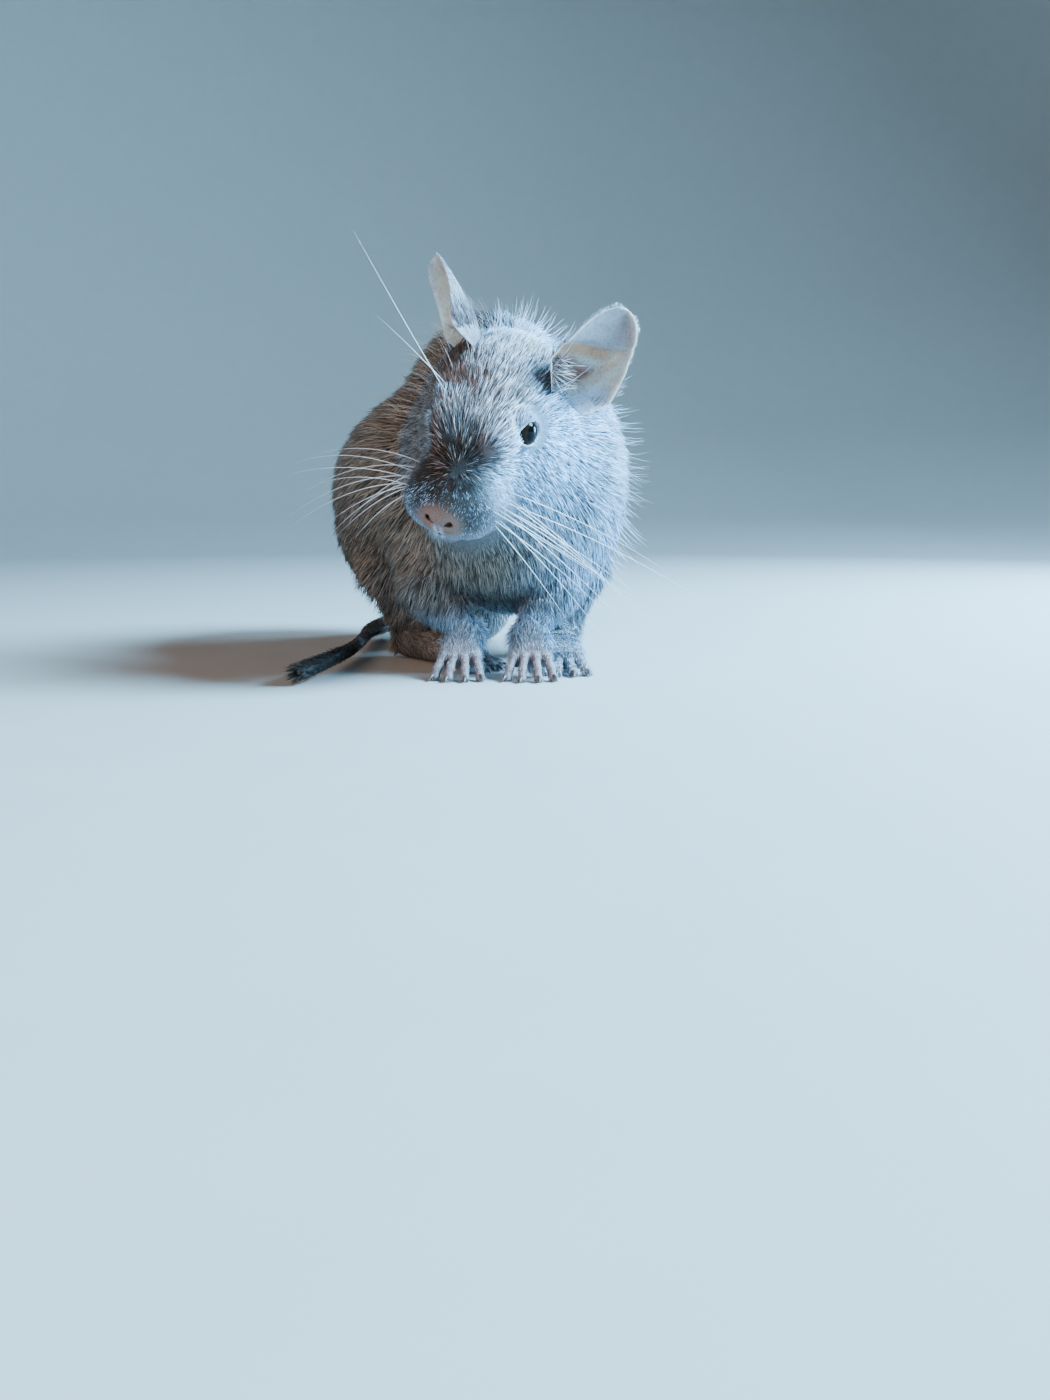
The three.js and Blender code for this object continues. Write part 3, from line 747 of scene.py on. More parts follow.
def markings_and_shade(p):
    """The coat's colour with its painted shade, linear, at points of the animal's frame."""
    h = into_head(p)
    both = folded(h)
    in_head = (1 - smooth(h[:, 1], 24, 50)) * (1 - smooth(head_field(p), 1.5, 8))

    def paint(colour, mask, tint):
        return colour + (tint - colour) * mask[:, None]

    # Painted shade: the whole coat starts dark and brown, and only the left side towards the lamps is painted
    # silver.
    colour = SHADED_FLANK * np.ones((len(p), 1))
    colour = paint(colour, 0.75 * smooth(p[:, 0], -2, 16), SILVER * 0.85)
    colour = paint(colour, 0.5 * smooth(p[:, 1], 20, 80) * smooth(p[:, 2], 30, 75), SLATE)
    colour = paint(colour, 0.5 * (1 - smooth(p[:, 2], 6, 34)) * smooth(p[:, 1], 20, 40), CREAM)
    # The low chest is darker slate, partly its own colour and partly painted shade under the head.
    colour = paint(colour, 0.5 * (1 - smooth(p[:, 2], 16, 36)) * (1 - smooth(p[:, 1], 24, 40)), SLATE)
    colour = paint(colour, 0.85 * in_head * smooth(p[:, 2], 24, 44), SILVER)
    colour = paint(colour, 0.7 * spot(both, [9, 4, -4], [9, 14, 11]), SILVER * 1.12)
    # Painted shade in the gap between the forelegs.
    colour = paint(colour, 0.7 * spot(p, [3, 4, 18], [13, 11, 5]), SLATE * 0.7)
    colour = paint(colour, 0.65 * spot(p, [27, 10, 26], [11, 14, 14]), SILVER)
    colour = paint(colour, 0.7 * (1 - smooth(p[:, 2], 14, 19)) * (1 - smooth(p[:, 1], 14, 22)), SILVER * 0.9)
    # Painted shade: the right side of the head, away from the lamps, darker and browner.
    colour = paint(colour, 0.8 * in_head * (1 - smooth(h[:, 0], -13, -5)), SHADED_FLANK * 0.75)
    colour = paint(colour, 0.85 * spot(h, [-1.5, -1, 11], [10, 17, 9], 0.6), FOREHEAD)
    colour = paint(colour, 0.6 * spot(h, [-1.5, -17, 3], [9, 13, 9], 0.45), SLATE)
    colour = paint(colour, 0.97 * spot(h, [-2.5, -17.6, 4.5], [6.8, 9, 7], 0.5), SOOT)
    colour = paint(colour, 0.85 * spot(h, [-3, -22, 1], [9.5, 5.5, 7], 0.5), SOOT * 2)
    colour = paint(colour, 0.8 * spot(h, [3, -23.5, -1], [8, 5, 5], 0.4), SOOT * 3)
    colour = paint(colour, 0.7 * spot(h, [4.5, 12, 14], [4, 4, 5], 0.7), SAND)
    # Painted shade under the ear bases, darker under the right ear, on the side away from the lamps.
    ear_root_shade = np.where(h[:, 0] < 0, 0.8, 0.4) * spot(both, [11.5, 11, 11], [5, 6, 6], 0.6)
    colour = paint(colour, ear_root_shade, SLATE * [0.75, 0.66, 0.62])
    # Painted shade low on the right hind leg and foot.
    hind_leg_shade = (1 - smooth(p[:, 2], 9, 15)) * smooth(p[:, 1], 16, 26) * (1 - smooth(p[:, 0], -12, -4))
    colour = paint(colour, 0.75 * hind_leg_shade, SLATE * 0.6)
    colour = paint(colour, 0.85 * spot(both, [10.5, -3, 5.5], [4.6, 5.5, 4.4], 0.4), SILVER * 1.15)
    colour = paint(colour, 0.8 * spot(both, [4.5, -21, -8], [6, 6, 4.2], 0.5), SILVER * 0.5 + LILAC * 0.75)
    return colour


def nose_bareness(p):
    """1 on the bare skin round the nostrils, 0 on the coat."""
    return spot(into_head(p), [0, -26.4, -3.0], [5.2, 3.4, 4.3], 0.3)


# %% [markdown]
# ## The lie of the coat
# On the face the hair grows away from a whorl on the bridge of the nose, forwards to the lips and back
# over the brows, and droops on the cheeks. Behind the ears it runs back and down, and on the legs
# straight down. One function gives the way for any point, bent a little by smooth waves, which part
# the coat into locks.

# %% Direction of the hair
SEED = 7
WHORL = np.array([0.5, -18.2, 4.8])
wave_rng = np.random.default_rng(SEED)


def waves(scale, count=10):
    """A smooth random vector field with features about `scale` millimetres across."""
    ways = wave_rng.normal(size=(count, 3)) * (2 * math.pi / scale / 1.7)
    phases = wave_rng.uniform(0, 2 * math.pi, (count, 3))

    def field(p):
        made = np.zeros((len(p), 3))
        for way, phase in zip(ways, phases):
            made += np.sin((p @ way)[:, None] + phase)
        return made / math.sqrt(count / 2)

    return field


broad_waves = waves(22)
lock_waves = waves(3.6)
fine_waves = waves(1.5)


def normalised(vectors):
    """The same ways, as unit vectors."""
    return vectors / np.maximum(np.linalg.norm(vectors, axis=1), 1e-9)[:, None]


def lie_of_hair(p, normals):
    """Unit ways along the skin in which the hair points."""
    h = into_head(p)
    cheek = spot(folded(h), [17, 3, -7], [10, 17, 14], 0.6)
    from_whorl = normalised(h - WHORL) + [0, 0.12, 0] + cheek[:, None] * [0, -0.4, -0.5]
    head_way = from_whorl @ HEAD_TURN.T
    down = 1 - smooth(p[:, 2], 18, 74)
    front = 1 - smooth(p[:, 1], 2, 30)
    body_way = np.column_stack([0 * down, 1.0 - 0.85 * front, -0.25 - 0.9 * down - 0.5 * front])
    body_way += np.column_stack([0.35 * normals[:, 0], 0 * down, 0 * down])
    head_share = (1 - smooth(h[:, 1], 10, 38)) * smooth(h[:, 2], -26, -10)
    way = body_way + (head_way - normalised(body_way)) * head_share[:, None]
    way = normalised(way) + 0.12 * broad_waves(p)
    way -= normals * (way * normals).sum(axis=1)[:, None]
    return normalised(way)


# %% [markdown]
# ## Tufts
# A tuft stands for a few hairs that stick together. It is a slim three-sided spike with its root in
# the skin and its tip on the outline of the plain model. A long one is bent once, so it has two rings
# of three points and a tip, and a short one is straight, with one ring. A particle system would look
# the same here but would not be kept as a mesh, so the spikes are built as joined arrays. Each carries
# its colour, its place from root to tip, and a random shade.

# %% Scatter roots and build tufts
TRIANGLES_IN_PIECE = 196000
PATCH = 0.003
TUFT_SINK = 0.25
TUFT_FLOOR = 0.1
TIP_BEND = 0.45
BENT = dict(
    faces=[[0, 3, 4, 1], [1, 4, 5, 2], [2, 5, 3, 0], [3, 6, 4], [4, 6, 5], [5, 6, 3]],
    triangles=9,
    along=[0, 0, 0, 0.5, 0.5, 0.5, 1.0],
    patch=[[0, 0], [1, 0], [0.5, 0], [0, 0.5], [1, 0.5], [0.5, 0.5], [0.5, 1]],
)
STRAIGHT = dict(
    faces=[[0, 3, 1], [1, 3, 2], [2, 3, 0]],
    triangles=3,
    along=[0, 0, 0, 1.0],
    patch=[[0, 0], [1, 0], [0.5, 0], [0.5, 1]],
)
rng = np.random.default_rng(SEED + 1)


def store(obj, name, values):
    """Keeps a number or a colour for each point of a mesh."""
    values = np.asarray(values, np.float32)
    if values.ndim == 1:
        layer = obj.data.attributes.new(name, "FLOAT", "POINT")
        layer.data.foreach_set("value", values)
        return
    layer = obj.data.attributes.new(name, "FLOAT_COLOR", "POINT")
    rgba = np.ones((len(values), 4), np.float32)
    rgba[:, :3] = values
    layer.data.foreach_set("color", rgba.ravel())


def scatter(points, faces, density):
    """Random points on four-sided faces, density(points) to a square millimetre."""
    faces = np.asarray(faces)
    triangles = np.concatenate([faces[:, [0, 1, 2]], faces[:, [0, 2, 3]]])
    a, b, c = (points[triangles[:, i]] for i in range(3))
    area = 0.5 * np.linalg.norm(np.cross(b - a, c - a), axis=1)
    wanted = rng.poisson(area * density((a + b + c) / 3))
    chosen = np.repeat(np.arange(len(triangles)), wanted)
    u, v = rng.random((2, len(chosen)))
    fold = u + v > 1
    u[fold], v[fold] = 1 - u[fold], 1 - v[fold]
    return a[chosen] + u[:, None] * (b - a)[chosen] + v[:, None] * (c - a)[chosen]


def spikes(roots, normals, ways, lengths, widths, lifts, form=BENT):
    """The points of each tuft: a ring at the root, a ring halfway if it is bent, and the tip."""
    across = np.cross(ways, normals)
    first = ways * np.cos(lifts)[:, None] + normals * np.sin(lifts)[:, None]
    later = ways * np.cos(lifts * TIP_BEND)[:, None] + normals * np.sin(lifts * TIP_BEND)[:, None]
    start = roots - normals * TUFT_SINK
    middle = start + first * lengths[:, None] * 0.5
    roll = rng.uniform(0, 2 * math.pi, len(roots))
    made = np.empty((len(roots), len(form["along"]), 3))
    for corner in range(3):
        angle = roll + corner * 2 * math.pi / 3
        out = across * np.cos(angle)[:, None] + normals * np.sin(angle)[:, None]
        made[:, corner] = start + out * widths[:, None] / 2
        if form is BENT:
            made[:, 3 + corner] = middle + out * widths[:, None] * 0.37
    made[:, -1] = middle + later * lengths[:, None] * 0.5
    return made


# %% A map for bakers
def unwrap(roots):
    """Places of the roots on their part of the skin rolled flat, evened out so that patches stay apart."""
    h = into_head(roots)
    middle = h.mean(axis=0)
    around = np.arctan2(h[:, 0] - middle[0], h[:, 2] - middle[2])
    columns = max(1, round(math.sqrt(len(roots))))
    column = np.argsort(np.argsort(around, kind="stable"), kind="stable") * columns // len(roots)
    order = np.lexsort((h[:, 1], column))
    row = np.empty(len(roots), int)
    starts = np.searchsorted(column[order], np.arange(columns))
    row[order] = np.arange(len(roots)) - starts[column[order]]
    return np.column_stack([(column + 0.1) / columns, (row + 0.1) / (row.max() + 1)])


def bake_map(mesh, roots, corners):
    """A map where each tuft is a small patch at its root's place on the unwrapped skin."""
    loops = np.empty(len(mesh.loops), np.int32)
    mesh.loops.foreach_get("vertex_index", loops)
    places = (unwrap(roots)[:, None] + np.array(corners)[None] * PATCH).reshape(-1, 2)
    layer = mesh.uv_layers.new(name="OFBake")
    layer.data.foreach_set("uv", places[loops].astype(np.float32).ravel())


# %% Many tufts as one mesh
def tuft_object(name, tufts, colours, shades, roots, material, form=BENT):
    """One mesh of many tufts, with its attributes and the map that a baker needs."""
    count, corners = tufts.shape[:2]
    sizes = np.tile([len(face) for face in form["faces"]], count)
    one = np.concatenate(form["faces"])
    loops = (one[None] + np.arange(count)[:, None] * corners).ravel()
    mesh = bpy.data.meshes.new(name)
    mesh.vertices.add(count * corners)
    mesh.vertices.foreach_set("co", to_frame(tufts.reshape(-1, 3)).astype(np.float32).ravel())
    mesh.loops.add(len(loops))
    mesh.loops.foreach_set("vertex_index", loops.astype(np.int32))
    mesh.polygons.add(len(sizes))
    mesh.polygons.foreach_set("loop_start", np.concatenate([[0], np.cumsum(sizes)[:-1]]).astype(np.int32))
    mesh.polygons.foreach_set("use_smooth", np.ones(len(sizes), bool))
    mesh.update(calc_edges=True)
    made = bpy.data.objects.new(name, mesh)
    scene.collection.objects.link(made)
    store(made, "coat_colour_and_shade", np.repeat(colours, corners, axis=0))
    store(made, "along", np.tile(form["along"], count))
    store(made, "shade", np.repeat(shades, corners))
    bake_map(mesh, roots, form["patch"])
    mesh.materials.append(material)
    return made


# %% [markdown]
# ## Tubes, balls and one helper for nodes
# The tail, the claws and the eyes are tubes and balls made from rings of points. A ring could also be
# spun with a modifier, but a formula keeps the poles closed. Every shape goes through one check that
# its faces point outwards. The helper for nodes sets a value or a link on each input by its name.


# %% Shape helpers
def through(points, count):
    """A smooth route through a few points, in even steps."""
    points = np.array(points, float)
    ends = np.vstack([2 * points[0] - points[1], points, 2 * points[-1] - points[-2]])
    t = np.linspace(0, len(points) - 1, 40 * len(points))
    i = np.minimum(t.astype(int), len(points) - 2)
    u = (t - i)[:, None]
    a, b, c, d = (ends[i + k] for k in range(4))
    dense = b + u * (c - a) / 2 + u**2 * (2 * a - 5 * b + 4 * c - d) / 2 + u**3 * (3 * b - a - 3 * c + d) / 2
    steps = np.r_[0, np.cumsum(np.linalg.norm(np.diff(dense, axis=0), axis=1))]
    wanted = np.linspace(0, steps[-1], count)
    return np.column_stack([np.interp(wanted, steps, dense[:, k]) for k in range(3)])


def ring_faces(rows, columns):
    """Faces of rings of points, closed with a flat face at both ends."""
    faces = []
    for row in range(rows - 1):
        for column in range(columns):
            a = row * columns + column
            b = row * columns + (column + 1) % columns
            faces.append([a, a + columns, b + columns, b])
    faces.append(list(range(columns)))
    faces.append([(rows - 1) * columns + column for column in range(columns)][::-1])
    return faces


def tube(route, radii, sides):
    """A closed tube round a route that never stands upright."""
    forward = normalised(np.gradient(route, axis=0))
    sideways = normalised(np.cross(forward, [0, 0, 1]))
    upward = np.cross(sideways, forward)
    angles = (np.arange(sides) * 2 * math.pi / sides)[:, None]
    spokes = sideways[:, None] * np.cos(angles) + upward[:, None] * np.sin(angles)
    points = route[:, None] + spokes * np.asarray(radii)[:, None, None]
    return points.reshape(-1, 3), ring_faces(len(route), sides)


def volume(points, faces):
    """The volume inside closed faces, negative if they point inwards."""
    total = 0.0
    for face in faces:
        for b, c in zip(face[1:], face[2:]):
            total += points[face[0]] @ np.cross(points[b], points[c])
    return total / 6


def faced_out(points, faces):
    """The same shape with its faces pointing outwards."""
    return points, [face[::-1] for face in faces] if volume(points, faces) < 0 else faces


def joined(shapes):
    """Several (points, faces) as one."""
    points, faces, first = [], [], 0
    for shape_points, shape_faces in shapes:
        points.append(shape_points)
        faces += [[corner + first for corner in face] for face in shape_faces]
        first += len(shape_points)
    return np.concatenate(points), faces


# %% A helper for nodes
def add(tree, kind, inputs=None, **options):
    """Adds a node, sets its options, and gives each input a value or a link."""
    node = tree.nodes.new(kind)
    for name, value in options.items():
        setattr(node, name, value)
    for name, value in (inputs or {}).items():
        if isinstance(value, bpy.types.NodeSocket):
            tree.links.new(value, node.inputs[name])
        else:
            node.inputs[name].default_value = value
    return node


# %% [markdown]
# ## Shared effects
# Two effects are used by several materials, so each is a node group. Ticking makes a hair dark at
# its root and pale at its tip, as on most wild rodents, with a random shade for each tuft. Skin grain
# is the fine net of creases on bare skin, whose mask also darkens the bare skin's colour as painted
# shade in the creases. Both read Object coordinates and stored attributes only.


# %% Making a node group
def new_group(name, inputs, outputs, tree="ShaderNodeTree"):
    """A node group with inputs of (name, kind, value) and outputs of (name, kind)."""
    group = bpy.data.node_groups.new(name, tree)
    for label, kind, value in inputs:
        socket = group.interface.new_socket(name=label, in_out="INPUT", socket_type="NodeSocket" + kind)
        if value is not None:
            socket.default_value = value
    for label, kind in outputs:
        group.interface.new_socket(name=label, in_out="OUTPUT", socket_type="NodeSocket" + kind)
    return group, add(group, "NodeGroupInput"), add(group, "NodeGroupOutput")


def grouped(tree, group, inputs):
    """Places a node group in a material, with its own values and links."""
    return add(tree, "ShaderNodeGroup", inputs, node_tree=group)


def mixed(tree, factor, first, second, how="MIX"):
    """The result of mixing two colours; the numbers are the colour sockets of the Mix node."""
    node = add(tree, "ShaderNodeMix", {0: factor, 6: first, 7: second}, data_type="RGBA", blend_type=how)
    return node.outputs[2]


def ranged(tree, value, low, high, start, end):
    """A value carried smoothly from one range to another."""
    inputs = {"Value": value, "From Min": low, "From Max": high, "To Min": start, "To Max": end}
    return add(tree, "ShaderNodeMapRange", inputs, interpolation_type="SMOOTHSTEP").outputs["Result"]


# %% Ticking
ROOT_DARKNESS = 0.22
TIP_PALENESS = 1.45


def make_ticking():
    group, given, result = new_group(
        "ticking",
        [
            ("Coat Colour And Shade", "Color", (0.3, 0.3, 0.3, 1)),
            ("Along", "Float", 0.5),
            ("Shade", "Float", 0.5),
            ("Patch Size", "Float", 0.0022),
        ],
        [("Colour", "Color"), ("Height", "Float")],
    )
    scale = add(group, "ShaderNodeMath", {0: 1.0, 1: given.outputs["Patch Size"]}, operation="DIVIDE")
    place = add(group, "ShaderNodeTexCoord").outputs["Object"]
    noise = add(group, "ShaderNodeTexNoise", {"Vector": place, "Scale": scale.outputs[0], "Detail": 4.0})
    along = given.outputs["Along"]
    colour = given.outputs["Coat Colour And Shade"]
    dark = mixed(group, 1.0, colour, (ROOT_DARKNESS,) * 3 + (1,), "MULTIPLY")
    pale = mixed(group, 1.0, colour, (TIP_PALENESS,) * 3 + (1,), "MULTIPLY")
    body = mixed(group, ranged(group, along, 0.0, 0.42, 0, 1), dark, colour)
    tipped = mixed(group, ranged(group, along, 0.4, 0.95, 0, 1), body, pale)
    lightness = ranged(group, given.outputs["Shade"], 0, 1, 0.3, 1.32)
    patchy = ranged(group, noise.outputs["Fac"], 0.3, 0.7, 0.86, 1.12)
    level = add(group, "ShaderNodeMath", {0: lightness, 1: patchy}, operation="MULTIPLY").outputs[0]
    grey = add(group, "ShaderNodeCombineColor", {"Red": level, "Green": level, "Blue": level})
    shaded = mixed(group, 1.0, tipped, grey.outputs["Color"], "MULTIPLY")
    group.links.new(shaded, result.inputs["Colour"])
    group.links.new(noise.outputs["Fac"], result.inputs["Height"])
    return group


# %% Skin grain
def make_skin_grain():
    group, given, result = new_group(
        "skin_grain",
        [("Size", "Float", 0.0006), ("Depth", "Float", 0.4)],
        [("Creases", "Float"), ("Normal", "Vector")],
    )
    scale = add(group, "ShaderNodeMath", {0: 1.0, 1: given.outputs["Size"]}, operation="DIVIDE").outputs[0]
    place = add(group, "ShaderNodeTexCoord").outputs["Object"]
    cells = add(
        group, "ShaderNodeTexVoronoi", {"Vector": place, "Scale": scale}, feature="DISTANCE_TO_EDGE"
    )
    noise = add(group, "ShaderNodeTexNoise", {"Vector": place, "Scale": scale, "Detail": 5.0})
    creases = ranged(group, cells.outputs["Distance"], 0.0, 0.22, 0, 1)
    height = add(group, "ShaderNodeMath", {0: creases, 1: noise.outputs["Fac"]}, operation="ADD").outputs[0]
    bump = add(
        group,
        "ShaderNodeBump",
        {"Strength": given.outputs["Depth"], "Distance": 0.00008, "Height": height},
    )
    group.links.new(creases, result.inputs["Creases"])
    group.links.new(bump.outputs["Normal"], result.inputs["Normal"])
    return group


ticking = make_ticking()
skin_grain = make_skin_grain()
progress(f"node groups: {[group.name for group in bpy.data.node_groups]}")

# %% [markdown]
# ## Materials
# Hair is matt with a soft edge of light, so it gets some sheen. The ears are thin enough for light to
# glow through, so they scatter it below the surface. The eyes are wet and nearly black, the claws are
# horn, and the whiskers are clear towards the tip. Values that are the same all over are set on the
# shader's own sockets.


# %% Making a material
def new_material(name, **shader_values):
    """A material with a Principled shader, whose sockets are named with underscores for spaces."""
    made = bpy.data.materials.new(name)
    made.use_nodes = True
    tree = made.node_tree
    shader = tree.nodes["Principled BSDF"]
    for label, value in shader_values.items():
        shader.inputs[label.replace("_", " ")].default_value = value
    return made, tree, shader


def attribute(tree, name, output):
    """Reads a stored attribute of the mesh."""
    return add(tree, "ShaderNodeAttribute", attribute_name=name, attribute_type="GEOMETRY").outputs[output]


# %% Coat and skin materials
def make_coat():
    made, tree, shader = new_material(
        "coat", Roughness=0.6, Specular_IOR_Level=0.16, Sheen_Weight=0.03, Sheen_Roughness=0.4
    )
    inputs = {
        "Coat Colour And Shade": attribute(tree, "coat_colour_and_shade", "Color"),
        "Along": attribute(tree, "along", "Fac"),
        "Shade": attribute(tree, "shade", "Fac"),
    }
    look = grouped(tree, ticking, inputs)
    tree.links.new(look.outputs["Colour"], shader.inputs["Base Color"])
    return made


def make_skin():
    made, tree, shader = new_material(
        "skin", Specular_IOR_Level=0.35, Subsurface_Weight=0.12, Subsurface_Scale=0.0012
    )
    inputs = {"Coat Colour And Shade": attribute(tree, "coat_colour_and_shade", "Color"), "Along": 0.14, "Patch Size": 0.0009}
    hairy = grouped(tree, ticking, inputs)
    grain = grouped(tree, skin_grain, {"Size": 0.00055, "Depth": 0.6})
    bare = attribute(tree, "bare", "Fac")
    # Painted shade: the bare skin's colour is darkened along the crease lines of the grain.
    creased = ranged(tree, grain.outputs["Creases"], 0, 1, 0.72, 1.05)
    level = add(tree, "ShaderNodeCombineColor", {"Red": creased, "Green": creased, "Blue": creased})
    flesh = mixed(tree, 1.0, attribute(tree, "coat_colour_and_shade", "Color"), level.outputs["Color"], "MULTIPLY")
    colour = mixed(tree, bare, hairy.outputs["Colour"], flesh)
    tree.links.new(colour, shader.inputs["Base Color"])
    tree.links.new(ranged(tree, bare, 0, 1, 0.8, 0.48), shader.inputs["Roughness"])
    tree.links.new(grain.outputs["Normal"], shader.inputs["Normal"])
    return made


# %% Ear leather
def make_ear():
    made, tree, shader = new_material(
        "ear_leather",
        Roughness=0.55,
        Specular_IOR_Level=0.35,
        Subsurface_Weight=0.5,
        Subsurface_Scale=0.0012,
        Subsurface_Radius=(1.0, 0.75, 0.62),
    )
    place = add(tree, "ShaderNodeTexCoord").outputs["Object"]
    blotches = add(tree, "ShaderNodeTexNoise", {"Vector": place, "Scale": 420.0, "Detail": 6.0})
    speckle = add(tree, "ShaderNodeTexNoise", {"Vector": place, "Scale": 2600.0, "Detail": 2.0})
    colour = attribute(tree, "leather_colour", "Color")
    dusky = mixed(tree, 1.0, colour, (0.78, 0.74, 0.76, 1), "MULTIPLY")
    colour = mixed(tree, ranged(tree, blotches.outputs["Fac"], 0.4, 0.7, 0, 1), colour, dusky)
    dotted = mixed(tree, 1.0, colour, (0.7, 0.68, 0.68, 1), "MULTIPLY")
    colour = mixed(tree, ranged(tree, speckle.outputs["Fac"], 0.52, 0.66, 0, 0.8), colour, dotted)
    grain = grouped(tree, skin_grain, {"Size": 0.0004, "Depth": 0.35})
    tree.links.new(colour, shader.inputs["Base Color"])
    tree.links.new(grain.outputs["Normal"], shader.inputs["Normal"])
    return made


# %% Eye, claw and whisker materials
def make_eye():
    made, tree, shader = new_material("eye", Roughness=0.06, IOR=1.38, Specular_IOR_Level=0.14)
    out = attribute(tree, "from_pupil", "Fac")
    place = add(tree, "ShaderNodeTexCoord").outputs["Object"]
    fibres = add(tree, "ShaderNodeTexNoise", {"Vector": place, "Scale": 1500.0, "Detail": 4.0})
    iris = mixed(tree, fibres.outputs["Fac"], (0.010, 0.006, 0.005, 1), (0.030, 0.017, 0.011, 1))
    colour = mixed(tree, ranged(tree, out, 0.5, 0.6, 0, 1), (0.003, 0.003, 0.004, 1), iris)
    colour = mixed(tree, ranged(tree, out, 1.15, 1.35, 0, 1), colour, (0.10, 0.06, 0.05, 1))
    tree.links.new(colour, shader.inputs["Base Color"])
    return made


def make_claw():
    made, tree, shader = new_material(
        "claw_horn", Roughness=0.35, Subsurface_Weight=0.2, Subsurface_Scale=0.0006
    )
    along = attribute(tree, "along", "Fac")
    place = add(tree, "ShaderNodeTexCoord").outputs["Object"]
    streaks = add(tree, "ShaderNodeTexNoise", {"Vector": place, "Scale": 1800.0, "Detail": 3.0})
    tipwards = ranged(tree, along, 0.0, 1.0, 0, 1)
    colour = mixed(tree, tipwards, (0.06, 0.045, 0.042, 1), (0.19, 0.15, 0.125, 1))
    colour = mixed(tree, streaks.outputs["Fac"], colour, (0.10, 0.075, 0.065, 1))
    tree.links.new(colour, shader.inputs["Base Color"])
    return made


def make_whisker():
    made, tree, shader = new_material("whisker", Roughness=0.3, Specular_IOR_Level=0.6)
    along = attribute(tree, "along", "Fac")
    colour = mixed(tree, ranged(tree, along, 0.0, 0.22, 0, 1), (0.42, 0.40, 0.40, 1), (0.86, 0.87, 0.88, 1))
    tree.links.new(colour, shader.inputs["Base Color"])
    return made


# %% Floor material, and all of them made
def make_floor():
    made, tree, shader = new_material("floor", Roughness=0.75, Specular_IOR_Level=0.25)
    place = add(tree, "ShaderNodeTexCoord").outputs["Object"]
    noise = add(tree, "ShaderNodeTexNoise", {"Vector": place, "Scale": 60.0, "Detail": 5.0})
    colour = mixed(tree, noise.outputs["Fac"], (0.52, 0.50, 0.475, 1), (0.56, 0.54, 0.515, 1))
    tree.links.new(colour, shader.inputs["Base Color"])
    return made


coat_material = make_coat()
skin_material = make_skin()
ear_material = make_ear()
eye_material = make_eye()
claw_material = make_claw()
whisker_material = make_whisker()
floor_material = make_floor()
progress(f"{len(bpy.data.materials)} materials")

# %% [markdown]
# ## One skin for body, hands, feet and tail
# The real skin has no seams, so the shells of the body, the four paws and the tail are joined in one
# mesh. The tail is bare under its bristles and scaly, and the palms, soles and nose are bare. Each
# point stores its marking with any painted shade, and how bare it is. The bare fingers and soles get
# painted shade on their sides and undersides, and the far right eyelid is painted dark as shade.

# %% Skin object
TAIL_ROUTE = [
    [8, 80, 13],
    [5, 91, 8],
    [-4, 94, 4.5],
    [-14, 82, 3.3],
    [-19.5, 64, 3.1],
    [-25, 46, 2.95],
    [-30.5, 31, 3.2],
    [-37, 16, 3.5],
    [-43.5, 6, 2.9],
]
TAIL_RADII = [3.4, 1.35]
TAIL_COLOUR = np.array([0.17, 0.155, 0.15])
TAIL_BARE = 0.8
TAIL_SIDES = 18

tail_route = through(TAIL_ROUTE, 150)
tail_t = np.linspace(0, 1, len(tail_route))
tail_radii = TAIL_RADII[0] + (TAIL_RADII[1] - TAIL_RADII[0]) * np.minimum(1, 2.2 * tail_t)
tail_radii *= np.where(tail_t > 0.99, 0.5, 1)
tail_shape = faced_out(*tube(tail_route, tail_radii, TAIL_SIDES))


def paw_way(name, points):
    """The level way of a paw, and how far along it points are: 0 at the heel, 1 at the knuckles."""
    heel, knuckles = np.array(PAWS[name]["heel"]), np.array(PAWS[name]["knuckles"])
    way = flat(knuckles - heel)
    return way, (points - heel) @ way / ((knuckles - heel) @ way)


def paw_bareness(points, name):
    """1 on fingers and soles, less on the back of the paw, 0 up the leg."""
    _, ahead = paw_way(name, points)
    return smooth(ahead, -0.4, 0.7) * (0.55 + 0.45 * smooth(ahead, 0.8, 1.5))


body_shape = faced_out(skin_points, [list(face) for face in skin_faces])
paw_shapes = [faced_out(points, [list(face) for face in faces]) for points, faces in paw_meshes.values()]
all_points, all_faces = joined([body_shape, *paw_shapes, tail_shape])
skin = mesh_object("skin", all_points, all_faces)
skin.data.materials.append(skin_material)

body_bare = nose_bareness(skin_points)
body_h = into_head(skin_points)
for side in (1, -1):
    place = eye_place(body_h, side)
    body_bare = np.maximum(body_bare, (1 - smooth(lid_reach(place), 1.02, 1.16)) * (place[:, 2] > 0))
cleft_share = (1 - smooth(np.abs(body_h[:, 0]), 0.5, 1.6)) * (1 - smooth(body_h[:, 2], -5.0, -2.6))
nose_tint = NOSE_BROWN + (LILAC - NOSE_BROWN) * cleft_share[:, None]
# Painted shade: the far right eyelid is dark slate, the near left one pale lilac.
lid_tint = np.where(body_h[:, :1] > 0, LILAC * 1.2, SLATE)
nose_tint = np.where(body_h[:, 1:2] < -15, nose_tint, lid_tint)
colours = [markings_and_shade(skin_points) * (1 - body_bare[:, None]) + nose_tint * body_bare[:, None]]
bareness = [body_bare]
for name, (points, _) in paw_meshes.items():
    bare = paw_bareness(points, name)
    bareness.append(bare)
    upward = normalised(gradient(paw_field(name), points))[:, 2]
    # Painted shade: bare fingers and soles darker where they face sideways or down, lighter on top.
    palm = (PINK * 0.5 + LILAC * 0.3) * (0.45 + 0.55 * smooth(upward, -0.1, 0.8))[:, None]
    colours.append(markings_and_shade(points) * (1 - bare[:, None]) + palm * bare[:, None])
bareness.append(np.full(len(tail_shape[0]), TAIL_BARE))
colours.append(np.tile(TAIL_COLOUR, (len(tail_shape[0]), 1)))
